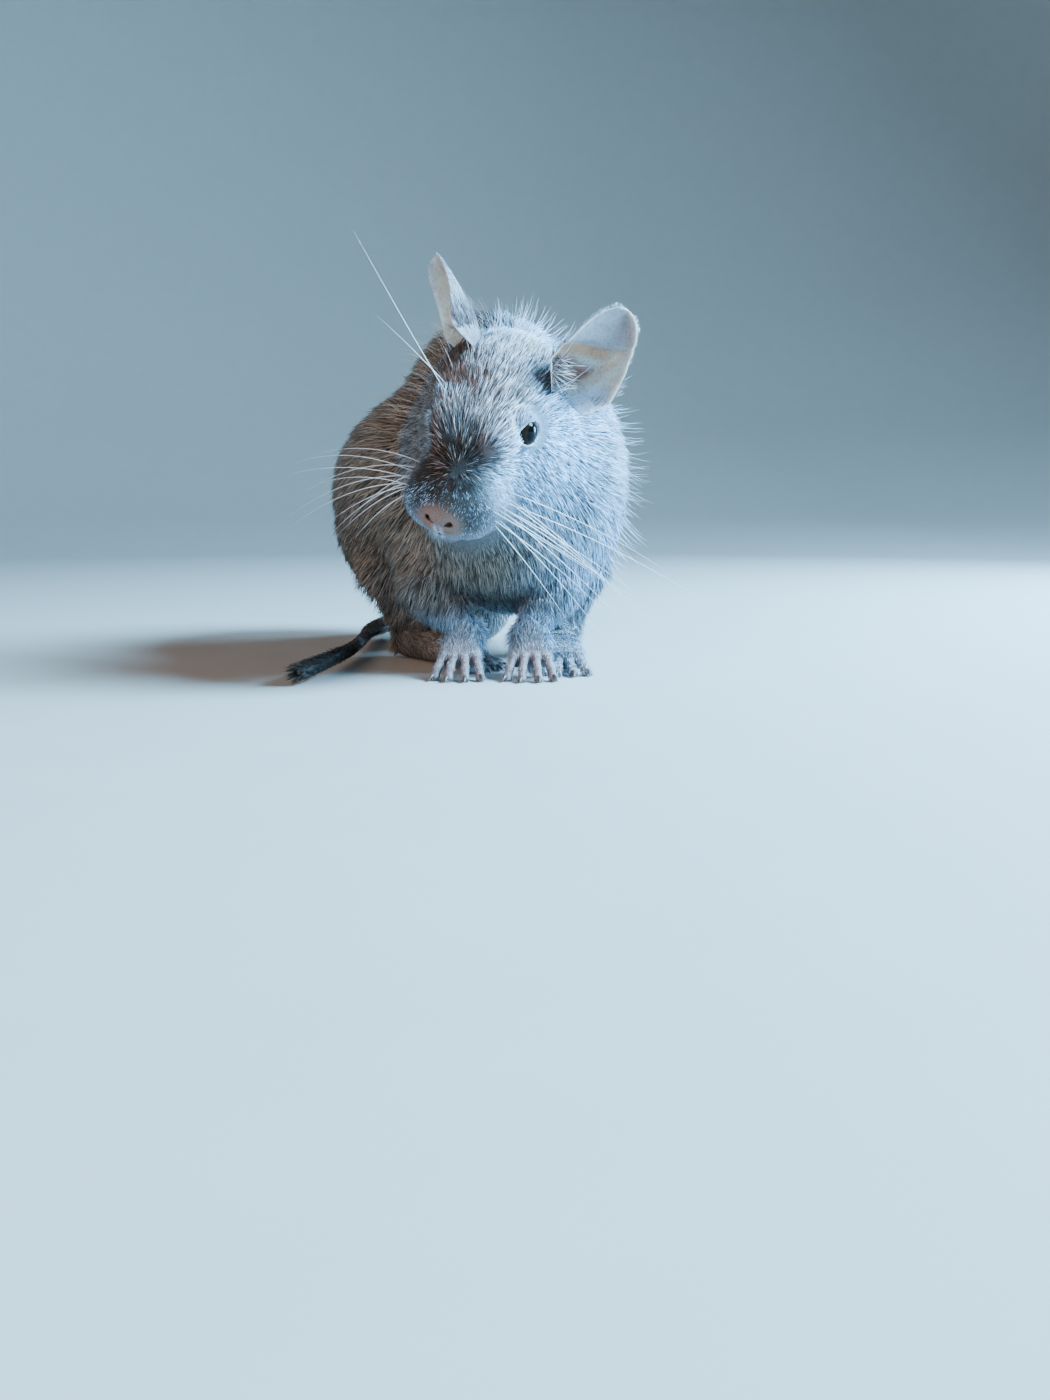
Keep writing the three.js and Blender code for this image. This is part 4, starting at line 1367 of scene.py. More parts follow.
store(skin, "coat_colour_and_shade", np.concatenate(colours))
store(skin, "bare", np.concatenate(bareness))
progress(f"skin object has {len(skin.data.polygons)} faces")

# %% [markdown]
# ## Eyes and claws
# An eye is a whole ball, so the lids can lie on it. Its pole looks outwards, and each point keeps its
# angle from the pupil. A claw is a short curved horn that comes out of the fingertip and touches the
# floor with its point.

# %% Eyes
EYE_ROWS = 40
EYE_COLUMNS = 64

eyes = {}
for label, side in (("left", 1), ("right", -1)):
    angles = np.linspace(0.02, math.pi - 0.02, EYE_ROWS)
    turn = np.arange(EYE_COLUMNS) * 2 * math.pi / EYE_COLUMNS
    angle, turn = np.meshgrid(angles, turn, indexing="ij")
    radius = (EYE_RADIUS - 0.05) * (1 + 0.02 * np.exp(-((angle / 0.5) ** 2)))
    level, upward, gaze = eye_axes(side)
    place = np.multiply.outer(radius * np.sin(angle) * np.cos(turn), level)
    place += np.multiply.outer(radius * np.sin(angle) * np.sin(turn), upward)
    place += np.multiply.outer(radius * np.cos(angle), gaze)
    points = out_of_head(place.reshape(-1, 3) + EYE_AT * [side, 1, 1])
    points, faces = faced_out(points, ring_faces(EYE_ROWS, EYE_COLUMNS))
    eyes[label] = mesh_object(f"eyeball_{label}", points, faces)
    eyes[label].data.materials.append(eye_material)
    store(eyes[label], "from_pupil", angle.ravel())

# %% Claws
CLAW_RADIUS = 0.62
CLAW_RINGS = 9
CLAW_SIDES = 10
CLAW_FLOOR = 0.05

claw_shapes = []
for name, paw in PAWS.items():
    _, routes, ways = paw_bones(paw)
    for route, way in zip(routes, ways):
        tip = route[5] + way * 0.2 + [0, 0, 0.35]
        crest = tip + way * CLAW_LENGTH * 0.5 + [0, 0, 0.45]
        end = tip + way * CLAW_LENGTH * 0.95
        end[2] = 0.2
        t = np.linspace(0, 1, CLAW_RINGS)[:, None]
        horn = (1 - t) ** 2 * tip + 2 * t * (1 - t) * crest + t**2 * end
        radii = CLAW_RADIUS * (1 - 0.9 * t[:, 0] ** 1.3)
        claw_shapes.append(faced_out(*tube(horn, radii, CLAW_SIDES)))
claw_points, claw_faces = joined(claw_shapes)
claw_points[:, 2] = np.maximum(claw_points[:, 2], CLAW_FLOOR)
claws = mesh_object("claws", claw_points, claw_faces)
claws.data.materials.append(claw_material)
claw_along = np.repeat(np.linspace(0, 1, CLAW_RINGS), CLAW_SIDES)
store(claws, "along", np.tile(claw_along, len(claw_shapes)))
progress(f"{len(eyes)} eyes and {len(claw_shapes)} claws")

# %% [markdown]
# ## Colours of the ears
# The leather is grey-beige, paler inside and palest round the rim. The left ear shows a warm brown
# wedge under its upper crease, a painted shadow line under the crease's flap, a dark red hollow at its
# base that is partly its own colour and partly painted shade, and a bluer leaf behind the second
# crease. The creases are known by formula, so each colour is a soft mask over the same places.

# %% Ear objects
LEATHER = np.array([0.27, 0.27, 0.30])
LEATHER_IN = np.array([0.42, 0.40, 0.37])
WEDGE = np.array([0.47, 0.26, 0.16])
# Dark red of the ear's hollow, partly its own colour and partly painted shade of the recess.
HOLLOW = np.array([0.24, 0.085, 0.06])
VEIL = np.array([0.36, 0.46, 0.56])
RIM = np.array([0.66, 0.60, 0.58])

ears = {}
ear_s, ear_t = ear_s.ravel(), -np.cos(ear_angle).ravel()
for name, (points, faces) in ear_meshes.items():
    points, faces = faced_out(points, faces)
    ears[name] = mesh_object(f"{name}_leaf", points, faces)
    ears[name].data.materials.append(ear_material)
    inside = (np.sin(ear_angle).ravel() > 0).astype(float)
    if EARS[name]["creased"]:
        above, behind = crease_places(ear_s, ear_t)
        below = inside * (1 - smooth(above, -0.02, 0.01))
        in_front = 1 - smooth(behind, -0.08, 0.02)
        wedge = below * in_front * smooth(above, -0.17, -0.1) * (1 - smooth(ear_t, 0.2, 0.5))
        # The hollow at the base: partly its own dark red and partly painted shade of the recess.
        hollow = below * in_front * (1 - smooth(ear_s, 0.3, 0.42))
        veil = inside * smooth(behind, 0.15, 0.3) * (1 - smooth(ear_s, 0.26, 0.36))
        # Painted shadow: a darker line just under the flap of the upper crease.
        flap_shadow = below * smooth(above, -0.07, -0.02) * smooth(ear_t, -0.3, 0.1)
    else:
        below = inside
        wedge, hollow, veil, flap_shadow = np.zeros((4, len(ear_s)))
    leather = LEATHER + (LEATHER_IN - LEATHER) * below[:, None]
    for mask, tint in ((veil, VEIL), (hollow, HOLLOW), (wedge, WEDGE), (0.5 * flap_shadow, LEATHER * 0.6)):
        leather = leather + (tint - leather) * mask[:, None]
    edge = np.maximum(smooth(np.abs(ear_t), 0.86, 0.99), smooth(ear_s, 0.95, 1.0))
    leather = leather + (RIM - leather) * 0.7 * edge[:, None]
    store(ears[name], "leather_colour", leather)
progress(f"{len(ears)} ears of {EAR_ROWS * EAR_COLUMNS} points each")

# %% [markdown]
# ## The coat
# Where the coat is short the tufts are small, straight and close together, and where it is long they
# are bent and fewer, so everywhere several of them overlap. They part round the eyes, leave the nose
# bare, and hang over the brows. Some are dark and some pale, which gives the coat its ticked look.

# %% Coat over head and body
COVERAGE = ([1.2, 3.0], [4.2, 7.2])
MOST_TO_A_SQUARE = 26.0
SHORT_TUFT = 2.6
FACE_LIFT, BODY_LIFT = 17.0, 19.0
BROW_OVERHANG = {1: 0.35, -1: 1.0}
EYE_CLEARING = {1: 1.0, -1: 1.15}


def tuft_length(p):
    """Longer than the coat is deep, because the hair lies flat, most of all on the forehead."""
    return 2.3 * coat_depth(p) + 0.65 + 1.5 * spot(into_head(p), [0, -8, 9], [11, 12, 9], 0.5)


def tuft_width(length):
    """Long tufts are a little wider."""
    return np.interp(length, [1.2, 3, 5, 8], [0.2, 0.25, 0.28, 0.33])


def tuft_density(p):
    """Tufts to a square millimetre, which cover the skin a few times over, and fewer near the floor."""
    length = tuft_length(p)
    wanted = np.minimum(MOST_TO_A_SQUARE, np.interp(length, *COVERAGE) / (length * tuft_width(length)))
    return wanted * (0.35 + 0.65 * smooth(p[:, 2], 1, 7))


def eye_reach(h):
    """How far each point is from the nearer eye's opening, 1 at its edge, with the way out from it."""
    best = np.full(len(h), 99.0)
    away = np.zeros((len(h), 3))
    for side in (1, -1):
        e = eye_place(h, side)
        reach = np.where(e[:, 2] > -1, lid_reach(e), 99) * EYE_CLEARING[side]
        nearer = reach < best
        best[nearer] = reach[nearer]
        level, upward, _ = eye_axes(side)
        out = e[:, :1] * level + e[:, 1:2] * upward
        overhang = BROW_OVERHANG[side] * smooth(e[:, 1], 0, 1.5)
        away[nearer] = (normalised(out) * (1 - overhang)[:, None])[nearer]
    return best, away


# %% Roots and ways of the tufts
roots = scatter(skin_points, skin_faces, tuft_density)
reach, away = eye_reach(into_head(roots))
kept = (reach > 1.1) & (nose_bareness(roots) < 0.5)
roots, reach, away = roots[kept], reach[kept], away[kept]
normals = normalised(gradient(skin_field, roots))
ways = lie_of_hair(roots, normals)
near_eye = np.exp(-(((reach - 1) / 0.8) ** 2))
ways = ways + (away @ HEAD_TURN.T) * (1.6 * near_eye)[:, None]
ways = ways + 0.09 * lock_waves(roots) + 0.08 * fine_waves(roots) + rng.normal(size=roots.shape) * 0.12
ways = normalised(ways - normals * (ways * normals).sum(axis=1)[:, None])
lengths = tuft_length(roots) * rng.uniform(0.78, 1.12, len(roots)) * (1 - 0.5 * near_eye)
long_hair = smooth(lengths, 1.5, 6)
lifts = np.radians(FACE_LIFT + (BODY_LIFT - FACE_LIFT) * long_hair + rng.normal(size=len(roots)) * 3.5)
lifts = lifts * (1 - 0.5 * near_eye) + 0.03 * lock_waves(roots + 40)[:, 0]
lifts = lifts * (1 - 0.3 * spot(into_head(roots), [0, -8, 9], [11, 12, 9], 0.5))
widths = tuft_width(lengths) * rng.uniform(0.8, 1.25, len(roots))
progress(f"{len(roots)} roots, lengths {lengths.min():.1f} to {lengths.max():.1f} mm")

# %% Colours of the tufts
shades = np.clip(rng.normal(0.56, 0.25, len(roots)) + 0.06 * lock_waves(roots + 80)[:, 1], 0, 1)
colours = markings_and_shade(roots)
h = into_head(roots)
dark_share = 0.10 + 0.28 * spot(h, [0, -4, 10], [12, 20, 12], 0.5) + 0.1 * (1 - smooth(roots[:, 2], 16, 40))
is_dark = rng.random(len(roots)) < dark_share
colours[is_dark] = colours[is_dark] * 0.42
pale_share = 0.42 * spot(h, [1, -23.2, -1.8], [11, 5, 5.8], 0.35)
is_pale = rng.random(len(roots)) < pale_share
colours[is_pale] = (SILVER + 0.08) * rng.uniform(0.6, 1.7, (is_pale.sum(), 1))
bridge_share = 0.32 * spot(h, [-2, -10, 7], [9, 10, 8], 0.5)
is_grey = ~is_pale & (rng.random(len(roots)) < bridge_share)
colours[is_grey] = FOREHEAD * rng.uniform(0.2, 0.85, (is_grey.sum(), 1))
progress(f"{is_dark.mean():.0%} of the tufts are dark and {is_pale.mean():.0%} are pale")

# %% Coat objects
coat_pieces = []
for form, chosen in ((STRAIGHT, lengths < SHORT_TUFT), (BENT, lengths >= SHORT_TUFT)):
    chosen = np.flatnonzero(chosen)
    chosen = chosen[np.argsort(h[chosen, 1], kind="stable")]
    parts = [roots, normals, ways, lengths, widths, lifts]
    tufts = spikes(*(part[chosen] for part in parts), form)
    tufts[..., 2] = np.maximum(tufts[..., 2], TUFT_FLOOR)
    count = math.ceil(len(chosen) * form["triangles"] / TRIANGLES_IN_PIECE)
    for share in np.array_split(np.arange(len(chosen)), count):
        ids = chosen[share]
        name = f"coat_{len(coat_pieces) + 1}"
        piece = tuft_object(name, tufts[share], colours[ids], shades[ids], roots[ids], coat_material, form)
        coat_pieces.append(piece)
    progress(f"{len(chosen)} tufts, {len(chosen) * form['triangles']} triangles, {count} pieces")

# %% [markdown]
# ## Hands, feet, ears and tail
# The backs of the hands and feet have short pale hair down to the claws, and the tail dark bristles
# raked back to a brush. The ears have a fine down, a few longer hairs at the front of the opening, and
# darker hair over the root behind. These are the same kind of tuft as the coat's, with their own
# lengths, so we give each kind a row of numbers.

# %% Hair on the paws
PAW_HAIRS_TO_A_SQUARE = 8.0
PAW_HAIR_SIZES = ([-1, 0.2, 1.0, 2.0], [5.5, 3.8, 2.3, 1.3])
PAW_PALE = np.array([0.60, 0.58, 0.61])


def combed(ways, normals, amount):
    """The ways with some disorder, laid back along the skin."""
    ways = ways + rng.normal(size=normals.shape) * amount
    return normalised(ways - normals * (ways * normals).sum(axis=1)[:, None])


parts = []
for name, (points, faces) in paw_meshes.items():
    spots = scatter(points, faces, lambda p: np.full(len(p), PAW_HAIRS_TO_A_SQUARE))
    normals = normalised(gradient(paw_field(name), spots))
    way, ahead = paw_way(name, spots)
    kept = (normals[:, 2] > -0.3) & (spots[:, 2] > 0.5)
    kept &= rng.random(len(spots)) > 0.55 * smooth(ahead, 1.2, 2.6)
    spots, normals, ahead = spots[kept], normals[kept], ahead[kept]
    size = np.interp(ahead, *PAW_HAIR_SIZES) * rng.uniform(0.7, 1.2, len(spots))
    ways = combed(way + np.array([0, 0, -0.5]), normals, 0.16)
    lifts = np.radians(rng.normal(13, 4, len(spots)))
    made = spikes(spots, normals, ways, size, np.interp(size, [0.8, 4], [0.13, 0.28]), lifts)
    pale = (0.75 * smooth(ahead, 0.1, 1.0) * (0.35 + 0.65 * smooth(normals[:, 2], 0, 0.7)))[:, None]
    tint = markings_and_shade(spots) * (1 - pale) + PAW_PALE * pale
    parts.append((made, tint, np.clip(rng.normal(0.6, 0.3, len(spots)), 0, 1), spots))
made, tint, shade, spots = (np.concatenate(column) for column in zip(*parts))
made[..., 2] = np.maximum(made[..., 2], TUFT_FLOOR)
paw_hair = tuft_object("coat_paws", made, tint, shade, spots, coat_material)
progress(f"{len(spots)} tufts on the paws")

# %% Hair on the ears
EAR_DOWN = 2600
EAR_FRINGE = 80
EAR_COVER = 320

parts = []
for name, ear in EARS.items():
    axis, opening, across = (v @ HEAD_TURN.T for v in ear_axes(ear))
    for count, reach, edges, back, lengths, colour in (
        (EAR_DOWN, (0.05, 0.97), (-0.97, 0.97), 1.0, (0.8, 1.4), [0.40, 0.43, 0.48]),
        (EAR_DOWN // 4, (0.3, 0.97), (-0.97, 0.97), 0.0, (0.5, 0.8), [0.40, 0.41, 0.44]),
        (EAR_FRINGE, (0.0, 0.28), (-0.95, -0.3), 0.0, (2.6, 5.6), [0.50, 0.48, 0.47]),
        (EAR_COVER, (0.12, 0.4), (-0.97, 0.97), 1.0, (3.2, 5.6), [0.22, 0.20, 0.21]),
    ):
        s = rng.uniform(*reach, count)
        t = rng.uniform(*edges, count)
        spots = ear_point(ear, s, t, back)
        normals = np.tile(opening * (1 - 2 * back), (count, 1))
        fringe = back == 0 and lengths[0] > 2
        if fringe:
            ways = across + axis * rng.uniform(-0.1, 0.9, (count, 1))
        else:
            ways = axis + across * (0.35 * t)[:, None]
        ways = combed(ways, normals, 0.2)
        size = rng.uniform(*lengths, count)
        lifts = np.radians(rng.normal(26 if fringe else 12, 4, count))
        made = spikes(spots, normals, ways, size, 0.09 + 0.02 * size, lifts)
        tint = np.tile(colour, (count, 1)) * np.where(fringe & (rng.random((count, 1)) < 0.6), 0.2, 1)
        parts.append((made, tint, rng.uniform(0.4, 0.9, count), spots))
made, tint, shade, spots = (np.concatenate(column) for column in zip(*parts))
ear_hair = tuft_object("coat_ears", made, tint, shade, spots, coat_material)
progress(f"{len(spots)} hairs on the ears")

# %% Bristles on the tail
TAIL_BRISTLES = 5200
TAIL_BRISTLE_SIZES = ([0, 0.1, 0.6, 0.85, 1], [6.0, 3.0, 2.6, 4.4, 5.2])

t = rng.random(TAIL_BRISTLES) ** 0.8 * 0.985 + 0.01
spin = rng.uniform(0, 2 * math.pi, TAIL_BRISTLES)
slope = normalised(np.gradient(tail_route, axis=0))
centre = np.column_stack([np.interp(t, tail_t, tail_route[:, k]) for k in range(3)])
way = normalised(np.column_stack([np.interp(t, tail_t, slope[:, k]) for k in range(3)]))
sideways = normalised(np.cross(way, [0, 0, 1]))
normals = sideways * np.cos(spin)[:, None] + np.cross(sideways, way) * np.sin(spin)[:, None]
spots = centre + normals * np.interp(t, tail_t, tail_radii)[:, None]
size = np.interp(t, *TAIL_BRISTLE_SIZES) * rng.uniform(0.8, 1.15, TAIL_BRISTLES)
lifts = np.radians(rng.normal(15, 4, len(t)))
made = spikes(spots, normals, combed(way, normals, 0.08), size, 0.1 + 0.028 * size, lifts)
made[..., 2] = np.maximum(made[..., 2], TUFT_FLOOR)
dark = TAIL_COLOUR * 1.2 + (TAIL_COLOUR * 0.4 - TAIL_COLOUR * 1.2) * smooth(t, 0.5, 0.85)[:, None]
base_share = (1 - smooth(t, 0.0, 0.12))[:, None]
tint = dark * (1 - base_share) + markings_and_shade(spots) * base_share
tail_hair = tuft_object("coat_tail", made, tint, rng.uniform(0.3, 0.9, len(t)), spots, coat_material)
progress(f"{TAIL_BRISTLES} bristles on the tail")

# %% [markdown]
# ## Whiskers and guard hairs
# Whiskers follow a few points each, so a node tree turns thin lines into tapering tubes. Guard hairs
# stand out of the coat of the crown and flanks. A second tree scatters them over a copy of the skin,
# each turned the way that its spot says, and ends by making them real, because an export drops
# instances. Both give plain meshes.


# %% Parts that both trees share
GUARD_RINGS = 5
GUARD_SIDES = 3
TIP_RADIUS = 0.06


def tapered(tree, curve, radius, sides):
    """Turns a curve into a tube that narrows to its tip, and stores the place along it."""
    factor = add(tree, "GeometryNodeSplineParameter").outputs["Factor"]
    kept = {"Geometry": curve, "Name": "along", "Value": factor}
    named = add(tree, "GeometryNodeStoreNamedAttribute", kept)
    shrink = ranged_number(tree, factor, 1.0, TIP_RADIUS)
    ring = add(tree, "GeometryNodeCurvePrimitiveCircle", {"Resolution": sides, "Radius": radius})
    inputs = {"Curve": named.outputs[0], "Profile Curve": ring.outputs[0], "Scale": shrink, "Fill Caps": True}
    return add(tree, "GeometryNodeCurveToMesh", inputs).outputs[0]


def ranged_number(tree, value, start, end):
    """A value from 0 to 1, carried to a range from start to end."""
    return add(tree, "ShaderNodeMapRange", {"Value": value, "To Min": start, "To Max": end}).outputs["Result"]


def finish_tree(tree, geometry, result, material):
    """Makes the instances real and gives them their material."""
    real = add(tree, "GeometryNodeRealizeInstances", {"Geometry": geometry}).outputs[0]
    dressed = add(tree, "GeometryNodeSetMaterial", {"Geometry": real, "Material": material}).outputs[0]
    tree.links.new(dressed, result.inputs["Geometry"])


# %% Whisker tree
def make_whisker_tree():
    inputs = [
        ("Geometry", "Geometry", None),
        ("Root Radius", "Float", 0.0001),
        ("Steps", "Int", 20),
        ("Sides", "Int", 5),
        ("Material", "Material", None),
    ]
    tree, given, result = new_group("whisker_maker", inputs, [("Geometry", "Geometry")], "GeometryNodeTree")
    lines = add(tree, "GeometryNodeMeshToCurve", {"Mesh": given.outputs["Geometry"]}).outputs[0]
    even = {"Curve": lines, "Count": given.outputs["Steps"]}
    lines = add(tree, "GeometryNodeResampleCurve", even).outputs[0]
    tubes = tapered(tree, lines, given.outputs["Root Radius"], given.outputs["Sides"])
    finish_tree(tree, tubes, result, given.outputs["Material"])
    return tree


# %% Guard-hair tree
def make_guard_hair_tree():
    inputs = [
        ("Geometry", "Geometry", None),
        ("Hairs To A Square Metre", "Float", 130000.0),
        ("Length", "Float", 0.0098),
        ("Bend", "Float", 0.0012),
        ("Root Radius", "Float", 0.00008),
        ("Seed", "Int", 3),
        ("Material", "Material", None),
    ]
    outputs = [("Geometry", "Geometry")]
    tree, given, result = new_group("guard_hair_maker", inputs, outputs, "GeometryNodeTree")
    share = add(tree, "GeometryNodeInputNamedAttribute", {"Name": "guard"}).outputs["Attribute"]
    wanted = add(
        tree, "ShaderNodeMath", {0: share, 1: given.outputs["Hairs To A Square Metre"]}, operation="MULTIPLY"
    )
    spots = add(
        tree,
        "GeometryNodeDistributePointsOnFaces",
        {"Mesh": given.outputs["Geometry"], "Density": wanted.outputs[0], "Seed": given.outputs["Seed"]},
    )
    middle = add(
        tree,
        "ShaderNodeCombineXYZ",
        {"X": given.outputs["Bend"], "Z": ranged_number(tree, given.outputs["Length"], 0.0, 0.5)},
    )
    end = add(tree, "ShaderNodeCombineXYZ", {"Z": given.outputs["Length"]})
    curve = add(
        tree,
        "GeometryNodeCurveQuadraticBezier",
        {
            "Resolution": GUARD_RINGS - 1,
            "Start": (0, 0, 0),
            "Middle": middle.outputs[0],
            "End": end.outputs[0],
        },
    )
    hair = tapered(tree, curve.outputs[0], given.outputs["Root Radius"], GUARD_SIDES)
    way = add(tree, "GeometryNodeInputNamedAttribute", {"Name": "stand"}, data_type="FLOAT_VECTOR").outputs[0]
    turn = add(tree, "FunctionNodeAlignRotationToVector", {"Vector": way}, axis="Z")
    chance = {2: 0.6, 3: 1.25, 8: given.outputs["Seed"]}
    size = add(tree, "FunctionNodeRandomValue", chance, data_type="FLOAT")
    placed = add(
        tree,
        "GeometryNodeInstanceOnPoints",
        {
            "Points": spots.outputs["Points"],
            "Instance": hair,
            "Rotation": turn.outputs[0],
            "Scale": size.outputs[1],
        },
    )
    finish_tree(tree, placed.outputs[0], result, given.outputs["Material"])
    return tree


# %% From a tree to a plain mesh
def grown(name, tree, base, values):
    """The plain mesh that a node tree makes from a base object, which is used up."""
    modifier = base.modifiers.new("maker", "NODES")
    modifier.node_group = tree
    for item in tree.interface.items_tree:
        if item.in_out == "INPUT" and item.name in values:
            modifier[item.identifier] = values[item.name]
    evaluated = base.evaluated_get(bpy.context.evaluated_depsgraph_get())
    mesh = bpy.data.meshes.new_from_object(evaluated)
    mesh.name = name
    bpy.data.objects.remove(base)
    made = bpy.data.objects.new(name, mesh)
    scene.collection.objects.link(made)
    return made


def tube_patch(rings, sides):
    """Places of a tube's points on its patch of the map: round it across, along it upwards."""
    v, u = np.meshgrid(np.linspace(0, 1, rings), np.arange(sides) / sides, indexing="ij")
    return np.column_stack([u.ravel(), v.ravel()])


whisker_tree = make_whisker_tree()
guard_hair_tree = make_guard_hair_tree()

# %% Whiskers
WHISKER_ROWS = {
    1: [(-1.2, -0.36, 1.0), (-3.2, -0.6, 0.95), (-5.2, -0.85, 0.85)],
    -1: [(-1.2, -0.12, 1.0), (-3.2, -0.42, 0.95), (-5.2, -0.75, 0.8)],
}
WHISKER_COLUMNS = [(-20.5, 0.62), (-18.2, 0.8), (-15.6, 1.0), (-12.8, 0.9)]
WHISKER_REACH = {1: 53, -1: 40}
WHISKER_SWEEP = {1: 0.3, -1: 0.16}
WHISKER_DROOP = {1: 0.12, -1: 0.3}
BROW_DROOP = 0.02
BROW_WHISKERS = {
    1: [],
    -1: [([8.5, -3.5, 10.5], [0.62, 0.12, 0.70], 36), ([9.5, 0.0, 9.5], [0.75, 0.1, 0.5], 21)],
}
WHISKER_RADIUS = 0.13
WHISKER_STEPS = 22
WHISKER_SIDES = 5
LINE_POINTS = 14


def onto_skin(points):
    """The points, slid onto the skin."""
    for _ in range(6):
        slope = gradient(skin_field, points)
        points = points - slope * (skin_field(points) / np.maximum((slope**2).sum(axis=1), 0.05))[:, None]
    return points


whisker_specs = []
for side in (1, -1):
    for z, dip, long_row in WHISKER_ROWS[side]:
        for y, long_column in WHISKER_COLUMNS:
            root = [side * 12.0, y + rng.normal(0, 0.3), z + rng.normal(0, 0.25)]
            way = [side * 0.85, WHISKER_SWEEP[side] + 0.03 * (y + 16), dip + rng.normal(0, 0.06)]
            reach = WHISKER_REACH[side] * long_row * long_column * rng.uniform(0.85, 1.05)
            whisker_specs.append((root, way, reach, WHISKER_DROOP[side]))
    for root, way, reach in BROW_WHISKERS[side]:
        whisker_specs.append(([root[0] * side, *root[1:]], [way[0] * side, *way[1:]], reach, BROW_DROOP))
whisker_roots = onto_skin(out_of_head([spec[0] for spec in whisker_specs]))
line_points, line_edges = [], []
for root, (_, way, reach, droop) in zip(whisker_roots, whisker_specs):
    way = normalised(np.array([way]) @ HEAD_TURN.T)[0]
    first = len(line_points)
    curl = rng.normal(0, 0.03, 3)
    for t in np.linspace(0, 1, LINE_POINTS):
        bend = np.array([0, 0.05, -droop]) * t * t + curl * t * t
        line_points.append(root + (way * t + bend) * reach - way * 0.5 * (1 - t))
    line_edges += [(first + k, first + k + 1) for k in range(LINE_POINTS - 1)]
lines = bpy.data.meshes.new("whisker_lines")
lines.from_pydata(to_frame(line_points).tolist(), line_edges, [])
base = bpy.data.objects.new("whisker_lines", lines)
scene.collection.objects.link(base)
whisker_values = {
    "Root Radius": WHISKER_RADIUS * MM,
    "Steps": WHISKER_STEPS,
    "Sides": WHISKER_SIDES,
    "Material": whisker_material,
}
whiskers = grown("whiskers", whisker_tree, base, whisker_values)
bake_map(whiskers.data, whisker_roots, tube_patch(WHISKER_STEPS, WHISKER_SIDES))
progress(f"{len(whisker_specs)} whiskers, {len(whiskers.data.vertices)} vertices")

# %% Guard hairs
GUARD_LIFT = 44
RUMP_LIFT = 20
GUARD_SHADE = 0.95
guard_normals = normalised(gradient(skin_field, skin_points))
guard_ways = lie_of_hair(skin_points, guard_normals)
rump = smooth(skin_points[:, 1], 18, 48)
lift = np.radians(GUARD_LIFT + (RUMP_LIFT - GUARD_LIFT) * rump)[:, None]
stand = guard_ways * np.cos(lift) + guard_normals * np.sin(lift)
behind = into_head(skin_points)[:, 1]
guard_share = smooth(behind, -2, 14) * smooth(skin_points[:, 2], 10, 24) * (1 - 0.5 * rump)
base = mesh_object("guard_skin", skin_points, skin_faces)
store(base, "guard", guard_share)
store(base, "coat_colour_and_shade", markings_and_shade(skin_points) * (1.5 - 0.8 * rump)[:, None])
layer = base.data.attributes.new("stand", "FLOAT_VECTOR", "POINT")
layer.data.foreach_set("vector", stand.astype(np.float32).ravel())
store(base, "shade", np.full(len(skin_points), GUARD_SHADE))
guard_hair = grown("coat_guard", guard_hair_tree, base, {"Material": coat_material})
leftover = guard_hair.data.attributes
for name in ("guard", "stand", "id"):
    if name in leftover:
        leftover.remove(leftover[name])
places = np.empty(len(guard_hair.data.vertices) * 3, np.float32)
guard_hair.data.vertices.foreach_get("co", places)
places = places.reshape(-1, GUARD_RINGS * GUARD_SIDES, 3)
guard_roots = places[:, :GUARD_SIDES].mean(axis=1) / MM - SHIFT
bake_map(guard_hair.data, guard_roots, tube_patch(GUARD_RINGS, GUARD_SIDES))
progress(f"{len(guard_roots)} guard hairs, {len(guard_hair.data.polygons)} faces")

# %% [markdown]
# ## Light, floor and last checks
# Soft, cool daylight comes from the right, from above and from the side, and a weak warm lamp fills
# the left. The floor is a wide pale dish, flat under the animal and rising far behind it, so no
# horizon shows from any side.

# %% Floor and lights
DISH_RADII = [0.02, 0.3, 0.7, 0.95, 1.2, 1.4, 1.5, 1.52]
DISH_HEIGHTS = [0.0, 0.0, 0.0, 0.03, 0.14, 0.36, 0.7, 1.3]
DISH_SIDES = 96
DAYLIGHT = (0.31, 0.67, 1.0)
LAMPLIGHT = (1.0, 0.60, 0.33)
ROOM_LIGHT = (1.0, 0.93, 0.85, 1)
ROOM_STRENGTH = 0.05
AIM = (0.0, 0.0, 0.04)


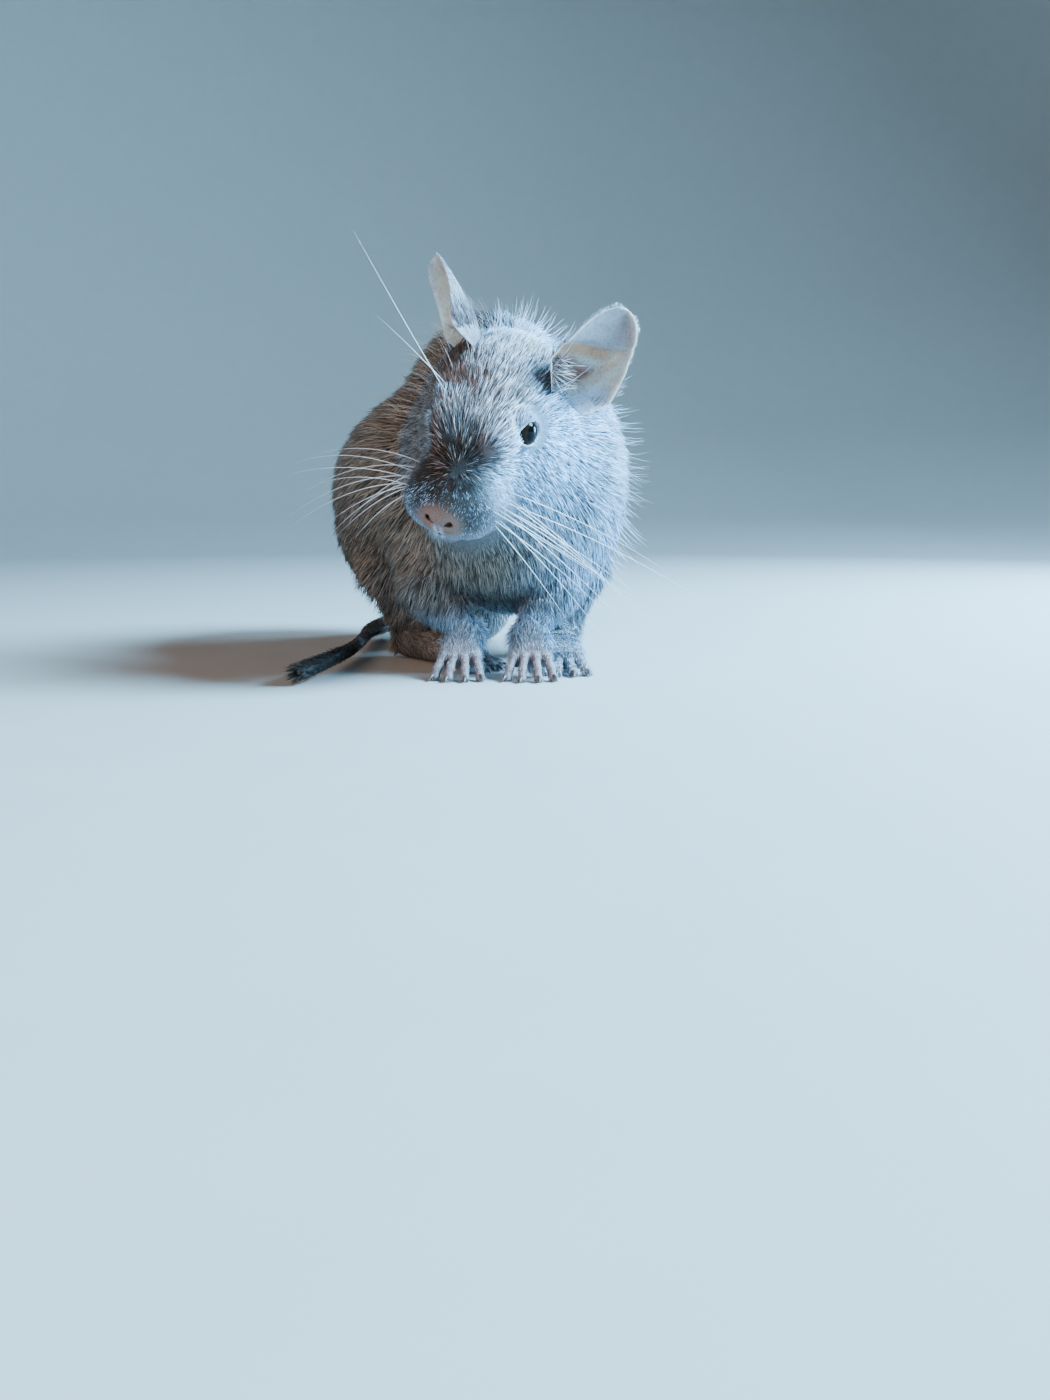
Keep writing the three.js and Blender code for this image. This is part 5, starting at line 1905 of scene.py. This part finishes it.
def dish_points():
    """Rings of points, from the middle of the floor to the top of its rim."""
    made = []
    for radius, height in zip(DISH_RADII, DISH_HEIGHTS):
        for step in range(DISH_SIDES):
            angle = step * 2 * math.pi / DISH_SIDES
            made.append([radius * math.cos(angle) / MM, radius * math.sin(angle) / MM, height / MM])
    return np.array(made) - SHIFT


dish_faces = [list(range(DISH_SIDES))]
for row in range(len(DISH_RADII) - 1):
    for column in range(DISH_SIDES):
        a = row * DISH_SIDES + column
        b = row * DISH_SIDES + (column + 1) % DISH_SIDES
        dish_faces.append([a, a + DISH_SIDES, b + DISH_SIDES, b])
floor = mesh_object("floor", dish_points(), dish_faces)
floor.data.materials.append(floor_material)


def soft_light(name, place, size, power, colour):
    """A round lamp that faces the animal."""
    light = bpy.data.lights.new(name, "AREA")
    light.shape = "DISK"
    light.size = size
    light.energy = power
    light.color = colour
    made = bpy.data.objects.new(name, light)
    made.location = place
    aim = np.array(AIM) - np.array(place)
    pitch = math.atan2(math.hypot(aim[0], aim[1]), -aim[2])
    made.rotation_euler = (pitch, 0, math.atan2(-aim[0], aim[1]))
    scene.collection.objects.link(made)


soft_light("window", (0.50, -0.24, 0.46), 0.30, 37.0, DAYLIGHT)
soft_light("side_window", (0.60, -0.02, 0.14), 0.24, 14.0, DAYLIGHT)
soft_light("lamp", (-0.50, -0.30, 0.26), 0.40, 2.0, LAMPLIGHT)
world = bpy.data.worlds.new("room")
scene.world = world
world.use_nodes = True
background = world.node_tree.nodes["Background"]
background.inputs["Color"].default_value = ROOM_LIGHT
background.inputs["Strength"].default_value = ROOM_STRENGTH

# %% Bodies, replaced nodes and slots
FLESH = [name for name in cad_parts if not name.startswith(("eye_", "ear_"))]
for piece, nodes, slot in (
    (skin, FLESH, "fur"),
    (eyes["left"], ["eye_left"], "eye"),
    (eyes["right"], ["eye_right"], "eye"),
    (ears["ear_left"], ["ear_left"], "ear_skin"),
    (ears["ear_right"], ["ear_right"], "ear_skin"),
    (claws, [], "claw"),
    (whiskers, [], "whisker"),
    (tail_hair, [], "dark_fur"),
    *((piece, [], "fur") for piece in [*coat_pieces, paw_hair, ear_hair, guard_hair]),
):
    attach(piece, "root")
    if nodes:
        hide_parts(*nodes)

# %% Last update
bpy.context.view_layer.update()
progress("done")
